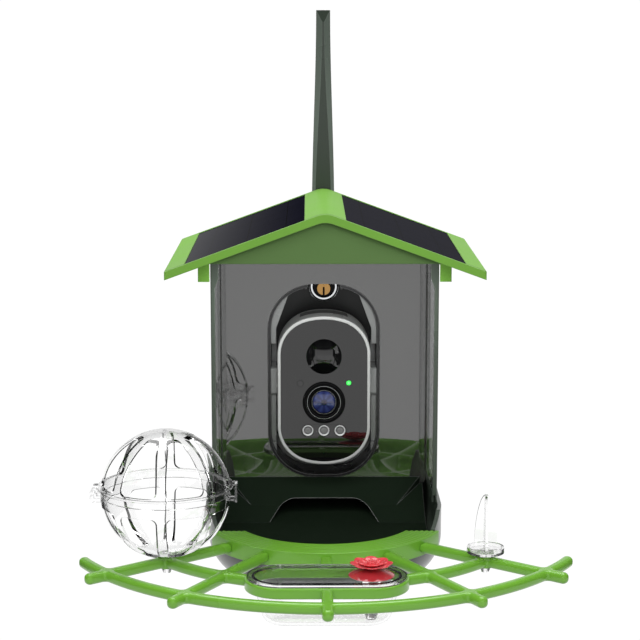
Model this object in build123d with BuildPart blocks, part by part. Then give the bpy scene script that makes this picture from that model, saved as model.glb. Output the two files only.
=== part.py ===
from build123d import *
import os
from math import asin, cos, radians, sin, sqrt

# Smart bird feeder. Millimetres, X to the right seen from the front, Y to the back, Z up.
# The origin is the mouth of the pole thread, in the middle of the flat bottom of the tray.

os.makedirs("parts", exist_ok=True)

# Gaps shared by many pieces
slip = 0.2
running = 0.05
air = 0.3
overrun = 2.0

# Tray
arc_y = -49.0
tray_radius = 79.5
tray_back = 88.0
tray_wall = 2.6
hull_radius = 27.5
rim_top = 46.5
dip_start_y = -66.0
dip_end_z = 36.5
drain_ring = 30.0
drain_radius = 2.2
drain_count = 6

# Pole thread in the bottom
thread_radius = 2.55
thread_depth = 11.0
insert_radius = 5.0
insert_height = 12.0
insert_flange_radius = 7.0
insert_flange = 1.2
pole_boss_radius = 9.0

# Front rim of the tray
apron_inner = 61.0
apron_outer = 82.0
apron_low = 25.0
apron_top = 36.0
apron_plate = 2.0
apron_skirt = 2.4
apron_lip = 1.8
apron_lip_low = 31.0
apron_end_y = -80.0
ridge_count = 7
ridge_height = 0.5

# Perch web
bar = 7.0
bar_low = 27.0
bar_top = 34.0
bar_rounding = 2.8
ring_rounding = 1.2
joint_rounding = 1.6
tip_rounding = 3.2
inner_reach = 49.0
perch_step = 45.0
tip_reach = 16.0
perch_angle = 62.5
socket_angle = 51.3
spoke_angle = 29.3
peg_radius = 2.0
peg_gap = 0.1
hub_radius = 5.4
stub_radius = 3.0
spike_hub_top = 36.2
cup_inset = 4.5
ring_length = 102.0
ring_width = 46.0
ring_bar = 3.3

# Screws
screw_radius = 1.3
screw_head_radius = 2.75
screw_head = 1.6
screw_slot = 0.7
screw_slot_depth = 0.8
apron_screw_angles = (-40, -15, 15, 40)
skirt_bite_share = 0.67

# Seed floor, ramp and arched mouth
sheet = 2.0
seed_floor_top = 16.5
ramp_front_y = 8.0
hood_front_y = 14.0
hood_top = 39.5
hood_front_half = 42.0
mouth_half = 39.0
mouth_top_half = 28.0
mouth_top = 28.0
mouth_rounding = 18.0

# House walls
frame_inner = 75.0
frame_wall = 3.0
frame_front = -30.0
wall_top = 212.0
tongue_depth = 6.5
tongue_wall = 1.7
post_depth = 6.0
window_back = 34.0
window_low = 50.0
window_top = 209.0
window_corner = 3.0
rebate = 2.0
pane = 1.5
head_thickness = 5.6
head_height = 13.0
head_taper = 7.0
lug_depth = 7.2
lug_height = 8.0
lug_width = 9.0
lug_levels = (64.0, 194.0)
panel_rib = 2.0
panel_rib_low = 60.0
panel_rib_top = 205.0
edge_rounding = 0.8
back_thickness = 2.6

# Front panel and its oval opening
panel_y = 50.0
panel_thickness = 2.4
panel_low = 34.5
opening_width = 82.0
opening_low = 39.0
opening_top = 183.3
opening_radius = 34.0
opening_bulge = 1.5
panel_corner = 3.0

# Camera bay and cradle
bay_wall = 2.0
bay_rib = 1.2
bay_rib_pitch = 2.7
bay_rib_start = 13.0
bay_ribs = 3
cradle_front = 54.0
cradle_back = 80.0
cradle_bridge = 2.0
cradle_bridge_height = 4.6
cradle_half = 34.8
cradle_shoulder_z = 150.0
cradle_top_half = 22.0
cradle_notch_low = 121.5
cradle_notch_top = 138.7
cradle_notch_depth = 22.0
cradle_web_z = 66.0
cradle_web_half = 18.0
cradle_seam_z = 64.4
cradle_seam = 1.2
boss_inner = 34.2
boss_low = 101.0
boss_front = 50.5
boss_depth = 10.0
boss_rounding = 2.0

# Camera
tilt_y = 55.0
tilt_z = 108.5
camera_width = 67.0
camera_low = 53.6
camera_top = 162.8
camera_front = 30.0
camera_depth = 46.0
camera_corner = 27.0
camera_bulge = 12.0
camera_wall = 2.2
shell_depth = 32.0
seal_thickness = 0.8
back_rounding = 12.0
rim_rounding = 0.9
plate_recess = 0.4
plate_thickness = 2.0
plate_gap = 0.15
ledge_width = 1.8
ledge_depth = 1.5
board_thickness = 1.6
board_inset = 3.0
pin_radius = 2.5
pin_end = 38.2
pin_head_radius = 4.0
pin_head = 1.4
pir_z = 133.4
pir_radius = 12.6
pir_height = 5.0
lens_z = 99.7
lens_radius = 15.3
lens_step_shares = (0.95, 0.86, 0.82, 0.69, 0.62)
lens_front = 28.7
lens_chamfer = 0.7
glass_radius = 8.5
glass_front = 29.8
glass_edge = 2.6
led_z = 78.7
led_pitch = 11.6
led_radius = 4.1
led_bead_radius = 2.6
led_bead_front = 30.9
led_bead_bevel = 0.9
led_base = 1.6
led_plate_height = 9.4
led_plate_front = 30.6
status_x = 17.9
status_z = 114.1
status_radius = 1.8
sensor_x = -17.1
sensor_z = 113.7
sensor_radius = 2.1
light_front = 30.2
mic_z = 62.0
mic_radius = 0.7
cell_radius = 9.15
cell_length = 65.0
cell_low = 72.0
cell_pitch = 21.0
cell_nub_radius = 2.8
cell_nub = 1.0
speaker_radius = 10.0
speaker_depth = 5.0
speaker_z = 72.0
port_half = 17.5
port_front = 46.0
port_back = 60.0
port_depth = 1.4
button_y = 44.0
button_radius = 4.0
button_low = 51.2
button_flange_radius = 5.2
button_flange = 1.0
button_lift = 0.35

# Lock of the camera
lock_z = 179.4
bezel_z = 181.0
bezel_radius = 11.2
bezel_inner = 8.0
bezel_front = 52.7
bezel_depth = 3.9
bezel_plate = 2.5
lock_tube_radius = 9.0
lock_disc_radius = 5.0
lock_disc_front = 53.6
lock_disc = 2.6
lock_rounding = 0.35
lock_shaft_radius = 3.0
lock_shaft_end = 84.0
lock_slot = 1.3
lock_slot_depth = 1.4
bay_notch_gap = 0.6

# Electric contacts between walls and roof
contact_x = 46.0
contact_y = 80.0
contact_block_half = 5.0
contact_block_low = 198.0
contact_block_top = 206.0
contact_pin_radius = 1.2
contact_pin_low = 194.0
contact_pin_head = 2.0
contact_pad_radius = 4.0
contact_pad = 1.7
contact_stud_radius = 1.5

# Rear bracket
pad_thickness = 3.0
pad_half = 24.0
bracket_low = 70.0
bracket_high = 140.0
bracket_sheet = 3.0
bracket_reach = 27.0
bracket_flange = 20.0
bracket_corner = 4.0
wall_hole_radius = 2.4
wall_hole_x = 37.0
bracket_screw_x = 15.0
bracket_screw_length = 7.0
pilot_web = 0.8

# Antenna
antenna_z = 198.0
antenna_y = 111.0
antenna_shank_radius = 5.0
antenna_shank = 6.0
antenna_nut_radius = 8.0
antenna_nut = 7.5
swivel_radius = 3.5
swivel_depth = 11.0
collar_radius = 7.0
collar_length = 5.0
cheek_half = 9.1
cheek_gap = 4.3
cheek_radius = 5.5
tongue_half = 4.0
tongue_radius = 5.0
hinge_pin_radius = 1.5
blade_top = 379.4
blade_low = 206.3
blade_low_thickness = 9.0
blade_top_thickness = 6.0
blade_bends = (283.0, 343.0)
blade_halves = (8.3, 7.45, 5.65, 5.2)
blade_flats = (5.5, 4.2, 1.1, 0.7)
blade_tip = 8.6

# Roof
eave_half = 106.0
roof_front = -75.0
roof_back = 102.7
ridge_top = 248.7
eave_top = 209.9
fascia = 5.5
ridge_rounding = 16.0
eave_rounding = 1.2
gable_front = -70.0
gable_back = 95.0
gable_wall = 2.0
gable_low = 214.5
gable_bite = 0.9
skirt_inner = 78.5
skirt_outer = 86.3
skirt_front = -32.0
skirt_back = 80.0
skirt_low = 197.0
skirt_wall = 2.0
seal_height = 2.6
liner_thickness = 2.0
roof_boss_radius = 4.0
roof_boss_x = 30.0
roof_boss_ys = (-50.0, 80.0)
roof_screw_length = 11.0
solar_inner = 13.7
solar_outer = 93.0
solar_front = -72.5
solar_back = 100.0
solar_recess = 2.6
solar_thickness = 2.2
wire_radius = 0.8

# Drinking cup
flange_length = 99.0
flange_width = 43.0
flange_height = 1.6
basin_length = 93.0
basin_width = 37.0
basin_low_length = 78.0
basin_low_width = 28.0
cup_low = 6.0
cup_wall = 1.6
cup_rounding = 7.0

# Flower that stands in the cup
flower_x = 27.5
flower_y = -177.0
flower_base_radius = 14.4
flower_base_low = 35.9
flower_base_height = 4.2
petal_count = 8
petal_reach = 13.6
petal_width = 8.6
petal_thickness = 1.6
petal_layers = 2
petal_layer_share = 0.62
flower_heart_radius = 3.4
flower_heart_height = 2.4
stem_radius = 5.7
stem_foot_radius = 3.0
stem_taper_top = 17.0

# Clear ball for fruit
ball_radius = 41.4
ball_wall = 1.8
ball_z = 75.7
rib_count = 8
rib_half = 3.0
window_first = 6.4
window_last = 37.0
window_rounding = 3.4
band_height = 4.2
seam = 0.3
upper_band = 5.7
ball_flange_radius = 43.0
ball_flange = 1.2
ball_hinge_x = 46.0
knuckle_radius = 2.5
knuckle_half = 2.6
knuckle_length = 4.4
ball_pin_radius = 1.0
clasp_half = 4.0
clasp_thickness = 1.5
clasp_low = 5.0
clasp_high = 7.0
catch_reach = 2.4
catch_height = 1.2

# Clear spike for fruit
dish_radius = 12.0
dish_low = 36.5
dish_top = 40.0
dish_floor = 1.5
dish_wall = 1.4
spike_top = 74.5
spike_foot = 37.0
fin_half = 7.5
fin = 1.6
barb_radius = 3.6
barb_tip_radius = 2.4
barb_length = 3.2
barb_slot = 1.2

# Places worked out from the sizes above
bar_mid = (bar_low + bar_top) / 2
spoke_angles = (-socket_angle, -spoke_angle, 0, spoke_angle, socket_angle)
inner_radius = apron_outer + inner_reach
perch_radius = inner_radius + perch_step
tip_radius = perch_radius + tip_reach
cup_y = arc_y - inner_radius + cup_inset
perch_end_x = (perch_radius - bar) * sin(radians(perch_angle))
web_start = apron_outer + peg_gap
socket_x = inner_radius * sin(radians(socket_angle))
socket_y = arc_y - inner_radius * cos(radians(socket_angle))
back_inner = tray_back - back_thickness
panel_back = panel_y + panel_thickness
frame_outer = frame_inner + frame_wall
seed_floor_low = seed_floor_top - sheet
opening_mid = (opening_low + opening_top) / 2
opening_height = opening_top - opening_low
camera_mid = (camera_low + camera_top) / 2
camera_height = camera_top - camera_low
camera_back_y = camera_front + camera_depth
plate_front = camera_front + plate_recess
plate_back = plate_front + plate_thickness
ledge_back = plate_back + air + ledge_depth
board_front = ledge_back + air
pole_boss_top = seed_floor_low
liner_low = wall_top + seal_height
liner_top = liner_low + liner_thickness
slope = (ridge_top - eave_top) / eave_half
slope_length = sqrt(1 + slope * slope)
screw_hole = screw_radius + running


def front_plane(y, z=0):
    """A plane that faces the front: its x runs right and its y runs up, from height z."""
    return Plane(origin=(0, y, z), x_dir=(1, 0, 0), z_dir=(0, -1, 0))


def block(x_span, y_span, z_span, mode=Mode.ADD):
    """A box from one corner to the other."""
    spans = (x_span, y_span, z_span)
    sizes = [high - low for low, high in spans]
    middle = [(high + low) / 2 for low, high in spans]
    with Locations(tuple(middle)):
        Box(*sizes, mode=mode)


def rod(start, end, radius, mode=Mode.ADD):
    """A round bar from one point to another."""
    run = Vector(*end) - Vector(*start)
    with Locations(Plane(origin=start, z_dir=run.normalized())):
        Cylinder(radius, run.length, align=(Align.CENTER, Align.CENTER, Align.MIN), mode=mode)


def screw(head_top, direction, length):
    """A pan-head screw: the top of its head, the way it points and its length under the head."""
    way = Vector(*direction).normalized()
    top = Vector(*head_top)
    seat = top + way * screw_head
    rod(tuple(top), tuple(seat), screw_head_radius)
    rod(tuple(seat), tuple(seat + way * length), screw_radius)
    with BuildSketch(Plane(origin=tuple(top), z_dir=tuple(way))) as cross:
        Rectangle(screw_head_radius, screw_slot)
        Rectangle(screw_slot, screw_head_radius)
    extrude(cross.sketch, amount=screw_slot_depth, mode=Mode.SUBTRACT)


def soft_outline(plane, width, height, radius, bulge):
    """An upright oval: straight sides, slightly arched top and bottom, wide round corners."""
    across = width / 2
    up = height / 2
    with BuildSketch(plane) as outline:
        with BuildLine():
            Line((across, bulge - up), (across, up - bulge))
            ThreePointArc((across, up - bulge), (0, up), (-across, up - bulge))
            Line((-across, up - bulge), (-across, bulge - up))
            ThreePointArc((-across, bulge - up), (0, -up), (across, bulge - up))
        make_face()
        fillet(outline.vertices(), radius)
    return outline.sketch


def bay_outline(y, inset):
    """The oval of the front opening, drawn in by a given amount."""
    width = opening_width - 2 * inset
    height = opening_height - 2 * inset
    return soft_outline(front_plane(y, opening_mid), width, height, opening_radius - inset, opening_bulge)


def face_outline(y, inset):
    """The oval of the camera's face, drawn in by a given amount."""
    width = camera_width - 2 * inset
    height = camera_height - 2 * inset
    return soft_outline(front_plane(y, camera_mid), width, height, camera_corner - inset, camera_bulge)


def hull(half_width, corner, low, high, back, mode=Mode.ADD):
    """The bowl of the tray: round in front about the arc centre, straight from there to the back."""
    flat = half_width - corner
    with BuildSketch(front_plane(arc_y)) as whole:
        with BuildLine():
            Line((-flat, low), (flat, low))
            CenterArc((flat, low + corner), corner, -90, 90)
            Line((half_width, low + corner), (half_width, high))
            Line((half_width, high), (-half_width, high))
            Line((-half_width, high), (-half_width, low + corner))
            CenterArc((-flat, low + corner), corner, 180, 90)
        make_face()
    with BuildSketch(front_plane(arc_y)) as half:
        with BuildLine():
            Line((0, low), (-flat, low))
            CenterArc((-flat, low + corner), corner, 180, 90)
            Line((-half_width, low + corner), (-half_width, high))
            Line((-half_width, high), (0, high))
            Line((0, high), (0, low))
        make_face()
    extrude(whole.sketch, amount=arc_y - back, mode=mode)
    revolve(half.sketch, axis=Axis((0, arc_y, 0), (0, 0, 1)), revolution_arc=180, mode=mode)


def hull_reach(z):
    """Half the inside width of the tray at height z, inside its rounded bottom edge."""
    corner = hull_radius - tray_wall
    drop = max(hull_radius - z, 0)
    return tray_radius - hull_radius + sqrt(corner * corner - drop * drop)


def arc_place(angle, radius, z):
    """A point on a circle about the arc centre, at an angle off straight ahead."""
    return (radius * sin(radians(angle)), arc_y - radius * cos(radians(angle)), z)


def arc_band(radius, start, end):
    """A flat arc of the perch between two angles off straight ahead."""
    with BuildSketch() as band:
        with BuildLine():
            inside = CenterArc((0, arc_y), radius - bar / 2, start - 90, end - start)
            outside = CenterArc((0, arc_y), radius + bar / 2, start - 90, end - start)
            Line(inside @ 0, outside @ 0)
            Line(inside @ 1, outside @ 1)
        make_face()
    return band.sketch


def cap_middle(radius, height):
    """The half-way point of a round cap about its axis: its radius and its rise over the rim."""
    ball = (radius * radius + height * height) / (2 * height)
    turn = asin(radius / ball) / 2
    return ball * sin(turn), ball * cos(turn) - (ball - height)


def ring_profile(points, centre_z, centre_x=0):
    """A face of (radius, y) points beside an axis that runs back from the camera's face."""
    with BuildSketch(Plane(origin=(centre_x, 0, centre_z), x_dir=(1, 0, 0), z_dir=(0, 0, 1))) as profile:
        with BuildLine():
            Polyline(*points, close=True)
        make_face()
    return profile.sketch


def depth_axis(z, x=0):
    """The axis that runs from front to back at a given height."""
    return Axis((x, 0, z), (0, 1, 0))


def snap_stub(x, y, top):
    """The round stub under the ball or the dish, with its two snap prongs below the web."""
    barb_top = bar_low - air
    with BuildSketch(Plane(origin=(x, y, 0), x_dir=(1, 0, 0), z_dir=(0, -1, 0))) as section:
        with BuildLine():
            Polyline(
                (0, top),
                (stub_radius, top),
                (stub_radius, barb_top),
                (barb_radius, barb_top),
                (barb_tip_radius, barb_top - barb_length),
                (0, barb_top - barb_length),
                close=True,
            )
        make_face()
    revolve(section.sketch, axis=Axis((x, y, 0), (0, 0, 1)))
    slot_span = (x - barb_slot / 2, x + barb_slot / 2)
    block(
        slot_span,
        (y - barb_radius - overrun, y + barb_radius + overrun),
        (barb_top - barb_length - overrun, bar_mid),
        Mode.SUBTRACT,
    )


# Tray: the dark bowl, its front wall cut down for the green rim
with BuildPart() as tray:
    hull(tray_radius, hull_radius, 0, rim_top, tray_back)
    hull(
        tray_radius - tray_wall,
        hull_radius - tray_wall,
        tray_wall,
        rim_top + overrun,
        tray_back - tray_wall,
        Mode.SUBTRACT,
    )
    with BuildSketch(Plane.YZ) as dip:
        with BuildLine():
            front = arc_y - tray_radius - overrun
            Polyline(
                (dip_start_y, rim_top + overrun),
                (dip_start_y, rim_top),
                (apron_end_y + slip, dip_end_z),
                (apron_end_y + slip, apron_top - apron_plate),
                (front, apron_top - apron_plate),
                (front, rim_top + overrun),
                close=True,
            )
        make_face()
    extrude(dip.sketch, amount=tray_radius + overrun, both=True, mode=Mode.SUBTRACT)
    with Locations((0, 0, tray_wall)):
        Cylinder(
            pole_boss_radius,
            pole_boss_top - tray_wall,
            align=(Align.CENTER, Align.CENTER, Align.MIN),
        )
    rod((0, 0, -overrun), (0, 0, insert_height + slip), insert_radius + running, Mode.SUBTRACT)
    rod((0, 0, -overrun), (0, 0, insert_flange + running), insert_flange_radius + running, Mode.SUBTRACT)
    with BuildSketch() as drains:
        with PolarLocations(drain_ring, drain_count):
            Circle(drain_radius)
    extrude(drains.sketch, amount=tray_wall + overrun, mode=Mode.SUBTRACT)
    for angle in apron_screw_angles:
        rod(
            arc_place(angle, tray_radius - tray_wall - overrun, bar_mid),
            arc_place(angle, tray_radius + overrun, bar_mid),
            screw_hole,
            Mode.SUBTRACT,
        )

# Threaded insert for a pole
with BuildPart() as pole_insert:
    rod((0, 0, 0), (0, 0, insert_height), insert_radius)
    rod((0, 0, 0), (0, 0, insert_flange), insert_flange_radius)
    rod((0, 0, 0), (0, 0, thread_depth), thread_radius, Mode.SUBTRACT)

# Seed floor with its ramp, raised hood and arched mouth
floor_radius = hull_reach(seed_floor_low) - 2 * slip
ramp_back = panel_y - slip
with BuildPart() as hood:
    with BuildSketch(Plane.YZ) as hood_side:
        with BuildLine():
            Polyline(
                (hood_front_y, seed_floor_top),
                (ramp_back, hood_top),
                (ramp_back, panel_low - sheet),
                (ramp_front_y + sheet, seed_floor_top - sheet),
                close=True,
            )
        make_face()
    extrude(hood_side.sketch, amount=floor_radius, both=True)
    with BuildSketch() as hood_plan:
        with BuildLine():
            Polyline(
                (-hood_front_half, hood_front_y - overrun),
                (hood_front_half, hood_front_y - overrun),
                (floor_radius - sheet, ramp_back),
                (sheet - floor_radius, ramp_back),
                close=True,
            )
        make_face()
    extrude(hood_plan.sketch, amount=hood_top + overrun, mode=Mode.INTERSECT)
with BuildPart() as seed_insert:
    with BuildSketch(Plane.XY.offset(seed_floor_low)) as floor_outline:
        with Locations((0, arc_y)):
            Circle(floor_radius)
        with Locations((0, arc_y)):
            Rectangle(2 * floor_radius, back_inner - slip - arc_y, align=(Align.CENTER, Align.MIN))
    extrude(amount=sheet)
    with BuildSketch(Plane.YZ) as ramp_side:
        with BuildLine():
            Polyline(
                (ramp_front_y, seed_floor_top),
                (ramp_back, panel_low),
                (ramp_back, panel_low - sheet),
                (ramp_front_y, seed_floor_top - sheet),
                close=True,
            )
        make_face()
    extrude(ramp_side.sketch, amount=floor_radius, both=True)
    add(hood.part)
    with BuildSketch(front_plane(panel_y)) as mouth:
        with BuildLine():
            Polyline(
                (-mouth_half, seed_floor_top),
                (-mouth_top_half, mouth_top),
                (mouth_top_half, mouth_top),
                (mouth_half, seed_floor_top),
                close=True,
            )
        make_face()
        fillet(mouth.vertices().group_by(Axis.Y)[-1], mouth_rounding)
    extrude(mouth.sketch, amount=panel_y - ramp_front_y + overrun, mode=Mode.SUBTRACT)

# Green front rim with its fine ridges
ridge_pitch = (apron_outer - apron_inner) / ridge_count
ridge_foot = apron_top - ridge_height
with BuildPart() as apron:
    with BuildSketch(front_plane(arc_y)) as rim_section:
        with BuildLine():
            for ridge in range(ridge_count):
                outer = apron_outer - ridge * ridge_pitch
                ThreePointArc(
                    (outer, ridge_foot),
                    (outer - ridge_pitch / 2, apron_top),
                    (outer - ridge_pitch, ridge_foot),
                )
            Polyline(
                (apron_inner, ridge_foot),
                (apron_inner, apron_lip_low),
                (apron_inner + apron_lip, apron_lip_low),
                (apron_inner + apron_lip, apron_top - apron_plate),
                (apron_outer - apron_skirt, apron_top - apron_plate),
                (apron_outer - apron_skirt, apron_low),
                (apron_outer, apron_low),
                (apron_outer, ridge_foot),
            )
        make_face()
    revolve(rim_section.sketch, axis=Axis((0, arc_y, 0), (0, 0, 1)))
    block(
        (-apron_outer - overrun, apron_outer + overrun),
        (apron_end_y, arc_y + apron_outer + overrun),
        (apron_low - overrun, apron_top + overrun),
        Mode.SUBTRACT,
    )
    for angle in spoke_angles:
        rod(
            arc_place(angle, apron_outer - apron_skirt - overrun, bar_mid),
            arc_place(angle, apron_outer + overrun, bar_mid),
            peg_radius + peg_gap,
            Mode.SUBTRACT,
        )
    for angle in apron_screw_angles:
        rod(
            arc_place(angle, apron_outer - apron_skirt - overrun, bar_mid),
            arc_place(angle, apron_outer - apron_skirt + apron_skirt * skirt_bite_share, bar_mid),
            screw_hole,
            Mode.SUBTRACT,
        )

# Screws that hold the green rim, driven from inside the tray
with BuildPart() as apron_screws:
    tray_inner = tray_radius - tray_wall
    for angle in apron_screw_angles:
        head_top = arc_place(angle, tray_inner - screw_head - air, bar_mid)
        way = arc_place(angle, 1, 0)
        screw(head_top, (way[0], way[1] - arc_y, 0), tray_wall + apron_skirt / 2)

# Ring of the perch web that holds the cup
with BuildPart() as cup_ring:
    with BuildSketch(Plane.XY.offset(bar_low)):
        with Locations((0, cup_y)):
            SlotOverall(ring_length, ring_width)
            SlotOverall(ring_length - 2 * ring_bar, ring_width - 2 * ring_bar, mode=Mode.SUBTRACT)
    extrude(amount=bar_top - bar_low)
    fillet(cup_ring.faces().filter_by(Axis.Z).edges(), ring_rounding)

# Green perch web: two arcs, five spokes, the ring of the cup and two sockets
with BuildPart() as perch_web:
    with BuildSketch(Plane.XY.offset(bar_low)) as web_outline:
        add(arc_band(perch_radius, -perch_angle, perch_angle))
        add(arc_band(inner_radius, -socket_angle, socket_angle))
        spoke_length = tip_radius - web_start
        for angle in spoke_angles:
            middle = arc_place(angle, web_start + spoke_length / 2, 0)
            with Locations((middle[0], middle[1])):
                Rectangle(bar, spoke_length, rotation=angle)
        centre = Vector(0, arc_y, 0)
        corners = web_outline.vertices()
        tips = [v for v in corners if (Vector(v.X, v.Y, 0) - centre).length > tip_radius - bar / 2]
        ends = [v for v in corners if abs(v.X) > perch_end_x]
        fillet(tips + ends, tip_rounding)
        joints = [
            v
            for v in web_outline.vertices()
            if web_start + bar < (Vector(v.X, v.Y, 0) - centre).length < tip_radius - bar
            and abs(v.X) < perch_end_x - bar
        ]
        fillet(joints, joint_rounding)
    extrude(amount=bar_top - bar_low)
    fillet(perch_web.faces().filter_by(Axis.Z).edges(), bar_rounding)
    with BuildSketch(Plane.XY.offset(bar_low)):
        with Locations((0, cup_y)):
            SlotOverall(ring_length - ring_bar, ring_width - ring_bar)
    extrude(amount=bar_top - bar_low, mode=Mode.SUBTRACT)
    add(cup_ring.part)
    for x, top in ((-socket_x, bar_top), (socket_x, spike_hub_top)):
        rod((x, socket_y, bar_low), (x, socket_y, top), hub_radius)
        rod(
            (x, socket_y, bar_low - overrun),
            (x, socket_y, top + overrun),
            stub_radius + running,
            Mode.SUBTRACT,
        )
    for angle in spoke_angles:
        rod(
            arc_place(angle, apron_outer - apron_skirt + peg_gap, bar_mid),
            arc_place(angle, web_start + peg_radius, bar_mid),
            peg_radius,
        )

# Dark green side frames with their thin front posts
with BuildPart() as side_frame_right:
    wall_span = (frame_inner, frame_outer)
    block(wall_span, (frame_front, tray_back), (rim_top, wall_top))
    tongue_span = (frame_inner, frame_inner + tongue_wall)
    block(tongue_span, (frame_front + post_depth, back_inner - slip), (rim_top - tongue_depth, rim_top))
    with BuildSketch(front_plane(frame_front)) as head:
        with BuildLine():
            Polyline(
                (frame_outer, wall_top),
                (frame_outer - head_thickness, wall_top),
                (frame_outer - head_thickness, wall_top - head_height),
                (frame_inner, wall_top - head_height - head_taper),
                (frame_outer, wall_top - head_height - head_taper),
                close=True,
            )
        make_face()
    extrude(head.sketch, amount=-post_depth)
    window_span = (frame_front + post_depth, window_back)
    with BuildSketch(Plane.YZ.offset(frame_inner - overrun)) as window:
        with Locations(((window_span[0] + window_back) / 2, (window_low + window_top) / 2)):
            RectangleRounded(window_back - window_span[0], window_top - window_low, window_corner)
    extrude(window.sketch, amount=frame_wall + 2 * overrun, mode=Mode.SUBTRACT)
    with BuildSketch(Plane.YZ.offset(frame_inner)) as window_seat:
        with Locations(((window_span[0] + window_back) / 2, (window_low + window_top) / 2)):
            RectangleRounded(
                window_back - window_span[0] + 2 * rebate,
                window_top - window_low + 2 * rebate,
                window_corner + rebate,
            )
    extrude(window_seat.sketch, amount=pane + slip / 2, mode=Mode.SUBTRACT)
    rib_span = (frame_inner - panel_rib, frame_inner)
    rib_depth = (panel_back + slip, panel_back + slip + panel_rib)
    block(rib_span, rib_depth, (panel_rib_low, panel_rib_top))
    for level in lug_levels:
        lug_span = (frame_inner - lug_width, frame_inner)
        lug_depth_span = (back_inner - slip - lug_depth, back_inner - slip)
        block(lug_span, lug_depth_span, (level - lug_height / 2, level + lug_height / 2))
        lug_x = frame_inner - lug_width / 2
        rod(
            (lug_x, back_inner - lug_depth + slip, level),
            (lug_x, tray_back, level),
            screw_hole,
            Mode.SUBTRACT,
        )
    front_edges = side_frame_right.edges().filter_by(Axis.Z).group_by(Axis.Y)[0]
    fillet(front_edges.sort_by(SortBy.LENGTH)[-1], edge_rounding)
with BuildPart() as side_frame_left:
    mirror(side_frame_right.part, about=Plane.YZ)

# Clear panes in the side frames
with BuildPart() as side_window_right:
    with BuildSketch(Plane.YZ.offset(frame_inner)) as pane_outline:
        with Locations(((window_span[0] + window_back) / 2, (window_low + window_top) / 2)):
            RectangleRounded(
                window_back - window_span[0] + 2 * (rebate - slip),
                window_top - window_low + 2 * (rebate - slip),
                window_corner + rebate - slip,
            )
    extrude(amount=pane)
with BuildPart() as side_window_left:
    mirror(side_window_right.part, about=Plane.YZ)

# Rear wall with the seat of the bracket and the two contact blocks
wall_half = frame_inner - slip
bracket_mid = (bracket_low + bracket_high) / 2
bracket_screw_z = (bracket_high - bracket_low) / 2 - lug_height - screw_head_radius
with BuildPart() as back_wall:
    block((-wall_half, wall_half), (back_inner, tray_back), (rim_top, wall_top))
    pad_span = (bracket_low - bracket_corner, bracket_high + bracket_corner)
    block((-pad_half, pad_half), (tray_back, tray_back + pad_thickness), pad_span)
    for side in (-1, 1):
        contact_span = (side * contact_x - contact_block_half, side * contact_x + contact_block_half)
        block(
            contact_span,
            (contact_y - contact_block_half, back_inner),
            (contact_block_low, contact_block_top),
        )
        rod(
            (side * contact_x, contact_y, contact_block_low - overrun),
            (side * contact_x, contact_y, contact_block_top + overrun),
            contact_pin_radius + running,
            Mode.SUBTRACT,
        )
        for level in lug_levels:
            lug_x = side * (frame_inner - lug_width / 2)
            rod(
                (lug_x, back_inner - overrun, level),
                (lug_x, tray_back + overrun, level),
                screw_hole,
                Mode.SUBTRACT,
            )
        for height in (-bracket_screw_z, bracket_screw_z):
            rod(
                (side * bracket_screw_x, back_inner + pilot_web, bracket_mid + height),
                (side * bracket_screw_x, tray_back + pad_thickness + overrun, bracket_mid + height),
                screw_hole,
                Mode.SUBTRACT,
            )
    rod(
        (0, back_inner - overrun, antenna_z),
        (0, tray_back + overrun, antenna_z),
        antenna_shank_radius + running,
        Mode.SUBTRACT,
    )
with BuildPart() as frame_screws:
    for side in (-1, 1):
        for level in lug_levels:
            lug_x = side * (frame_inner - lug_width / 2)
            screw((lug_x, tray_back + screw_head, level), (0, -1, 0), back_thickness + lug_depth - air)

# Smoked front panel with its oval opening
with BuildPart() as front_panel:
    block((-wall_half, wall_half), (panel_y, panel_back), (panel_low, wall_top))
    lower_corners = front_panel.edges().filter_by(Axis.Y).group_by(Axis.Z)[0]
    fillet(lower_corners, panel_corner)
    extrude(bay_outline(panel_y - overrun, 0), amount=-(panel_thickness + 2 * overrun), mode=Mode.SUBTRACT)

# Dark oval liner between the opening and the rear wall
with BuildPart() as camera_bay:
    bay_depth = back_inner - panel_y
    extrude(bay_outline(panel_y, slip), amount=-bay_depth)
    extrude(
        bay_outline(panel_y - overrun, slip + bay_wall),
        amount=-(bay_depth + 2 * overrun),
        mode=Mode.SUBTRACT,
    )
    ceiling = opening_top - slip - bay_wall
    for side in (-1, 1):
        for rib in range(bay_ribs):
            rib_x = side * (bay_rib_start + rib * bay_rib_pitch)
            block(
                (rib_x - bay_rib / 2, rib_x + bay_rib / 2),
                (panel_back, back_inner - bay_rib),
                (ceiling - opening_bulge / 2 - bay_rib, ceiling),
            )
    rod(
        (0, panel_y - overrun, bezel_z),
        (0, bezel_front + bezel_depth + bezel_plate + bay_notch_gap, bezel_z),
        bezel_radius + bay_notch_gap,
        Mode.SUBTRACT,
    )
    rod(
        (0, panel_y, lock_z),
        (0, back_inner + overrun, lock_z),
        lock_tube_radius + bay_notch_gap,
        Mode.SUBTRACT,
    )

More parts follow.
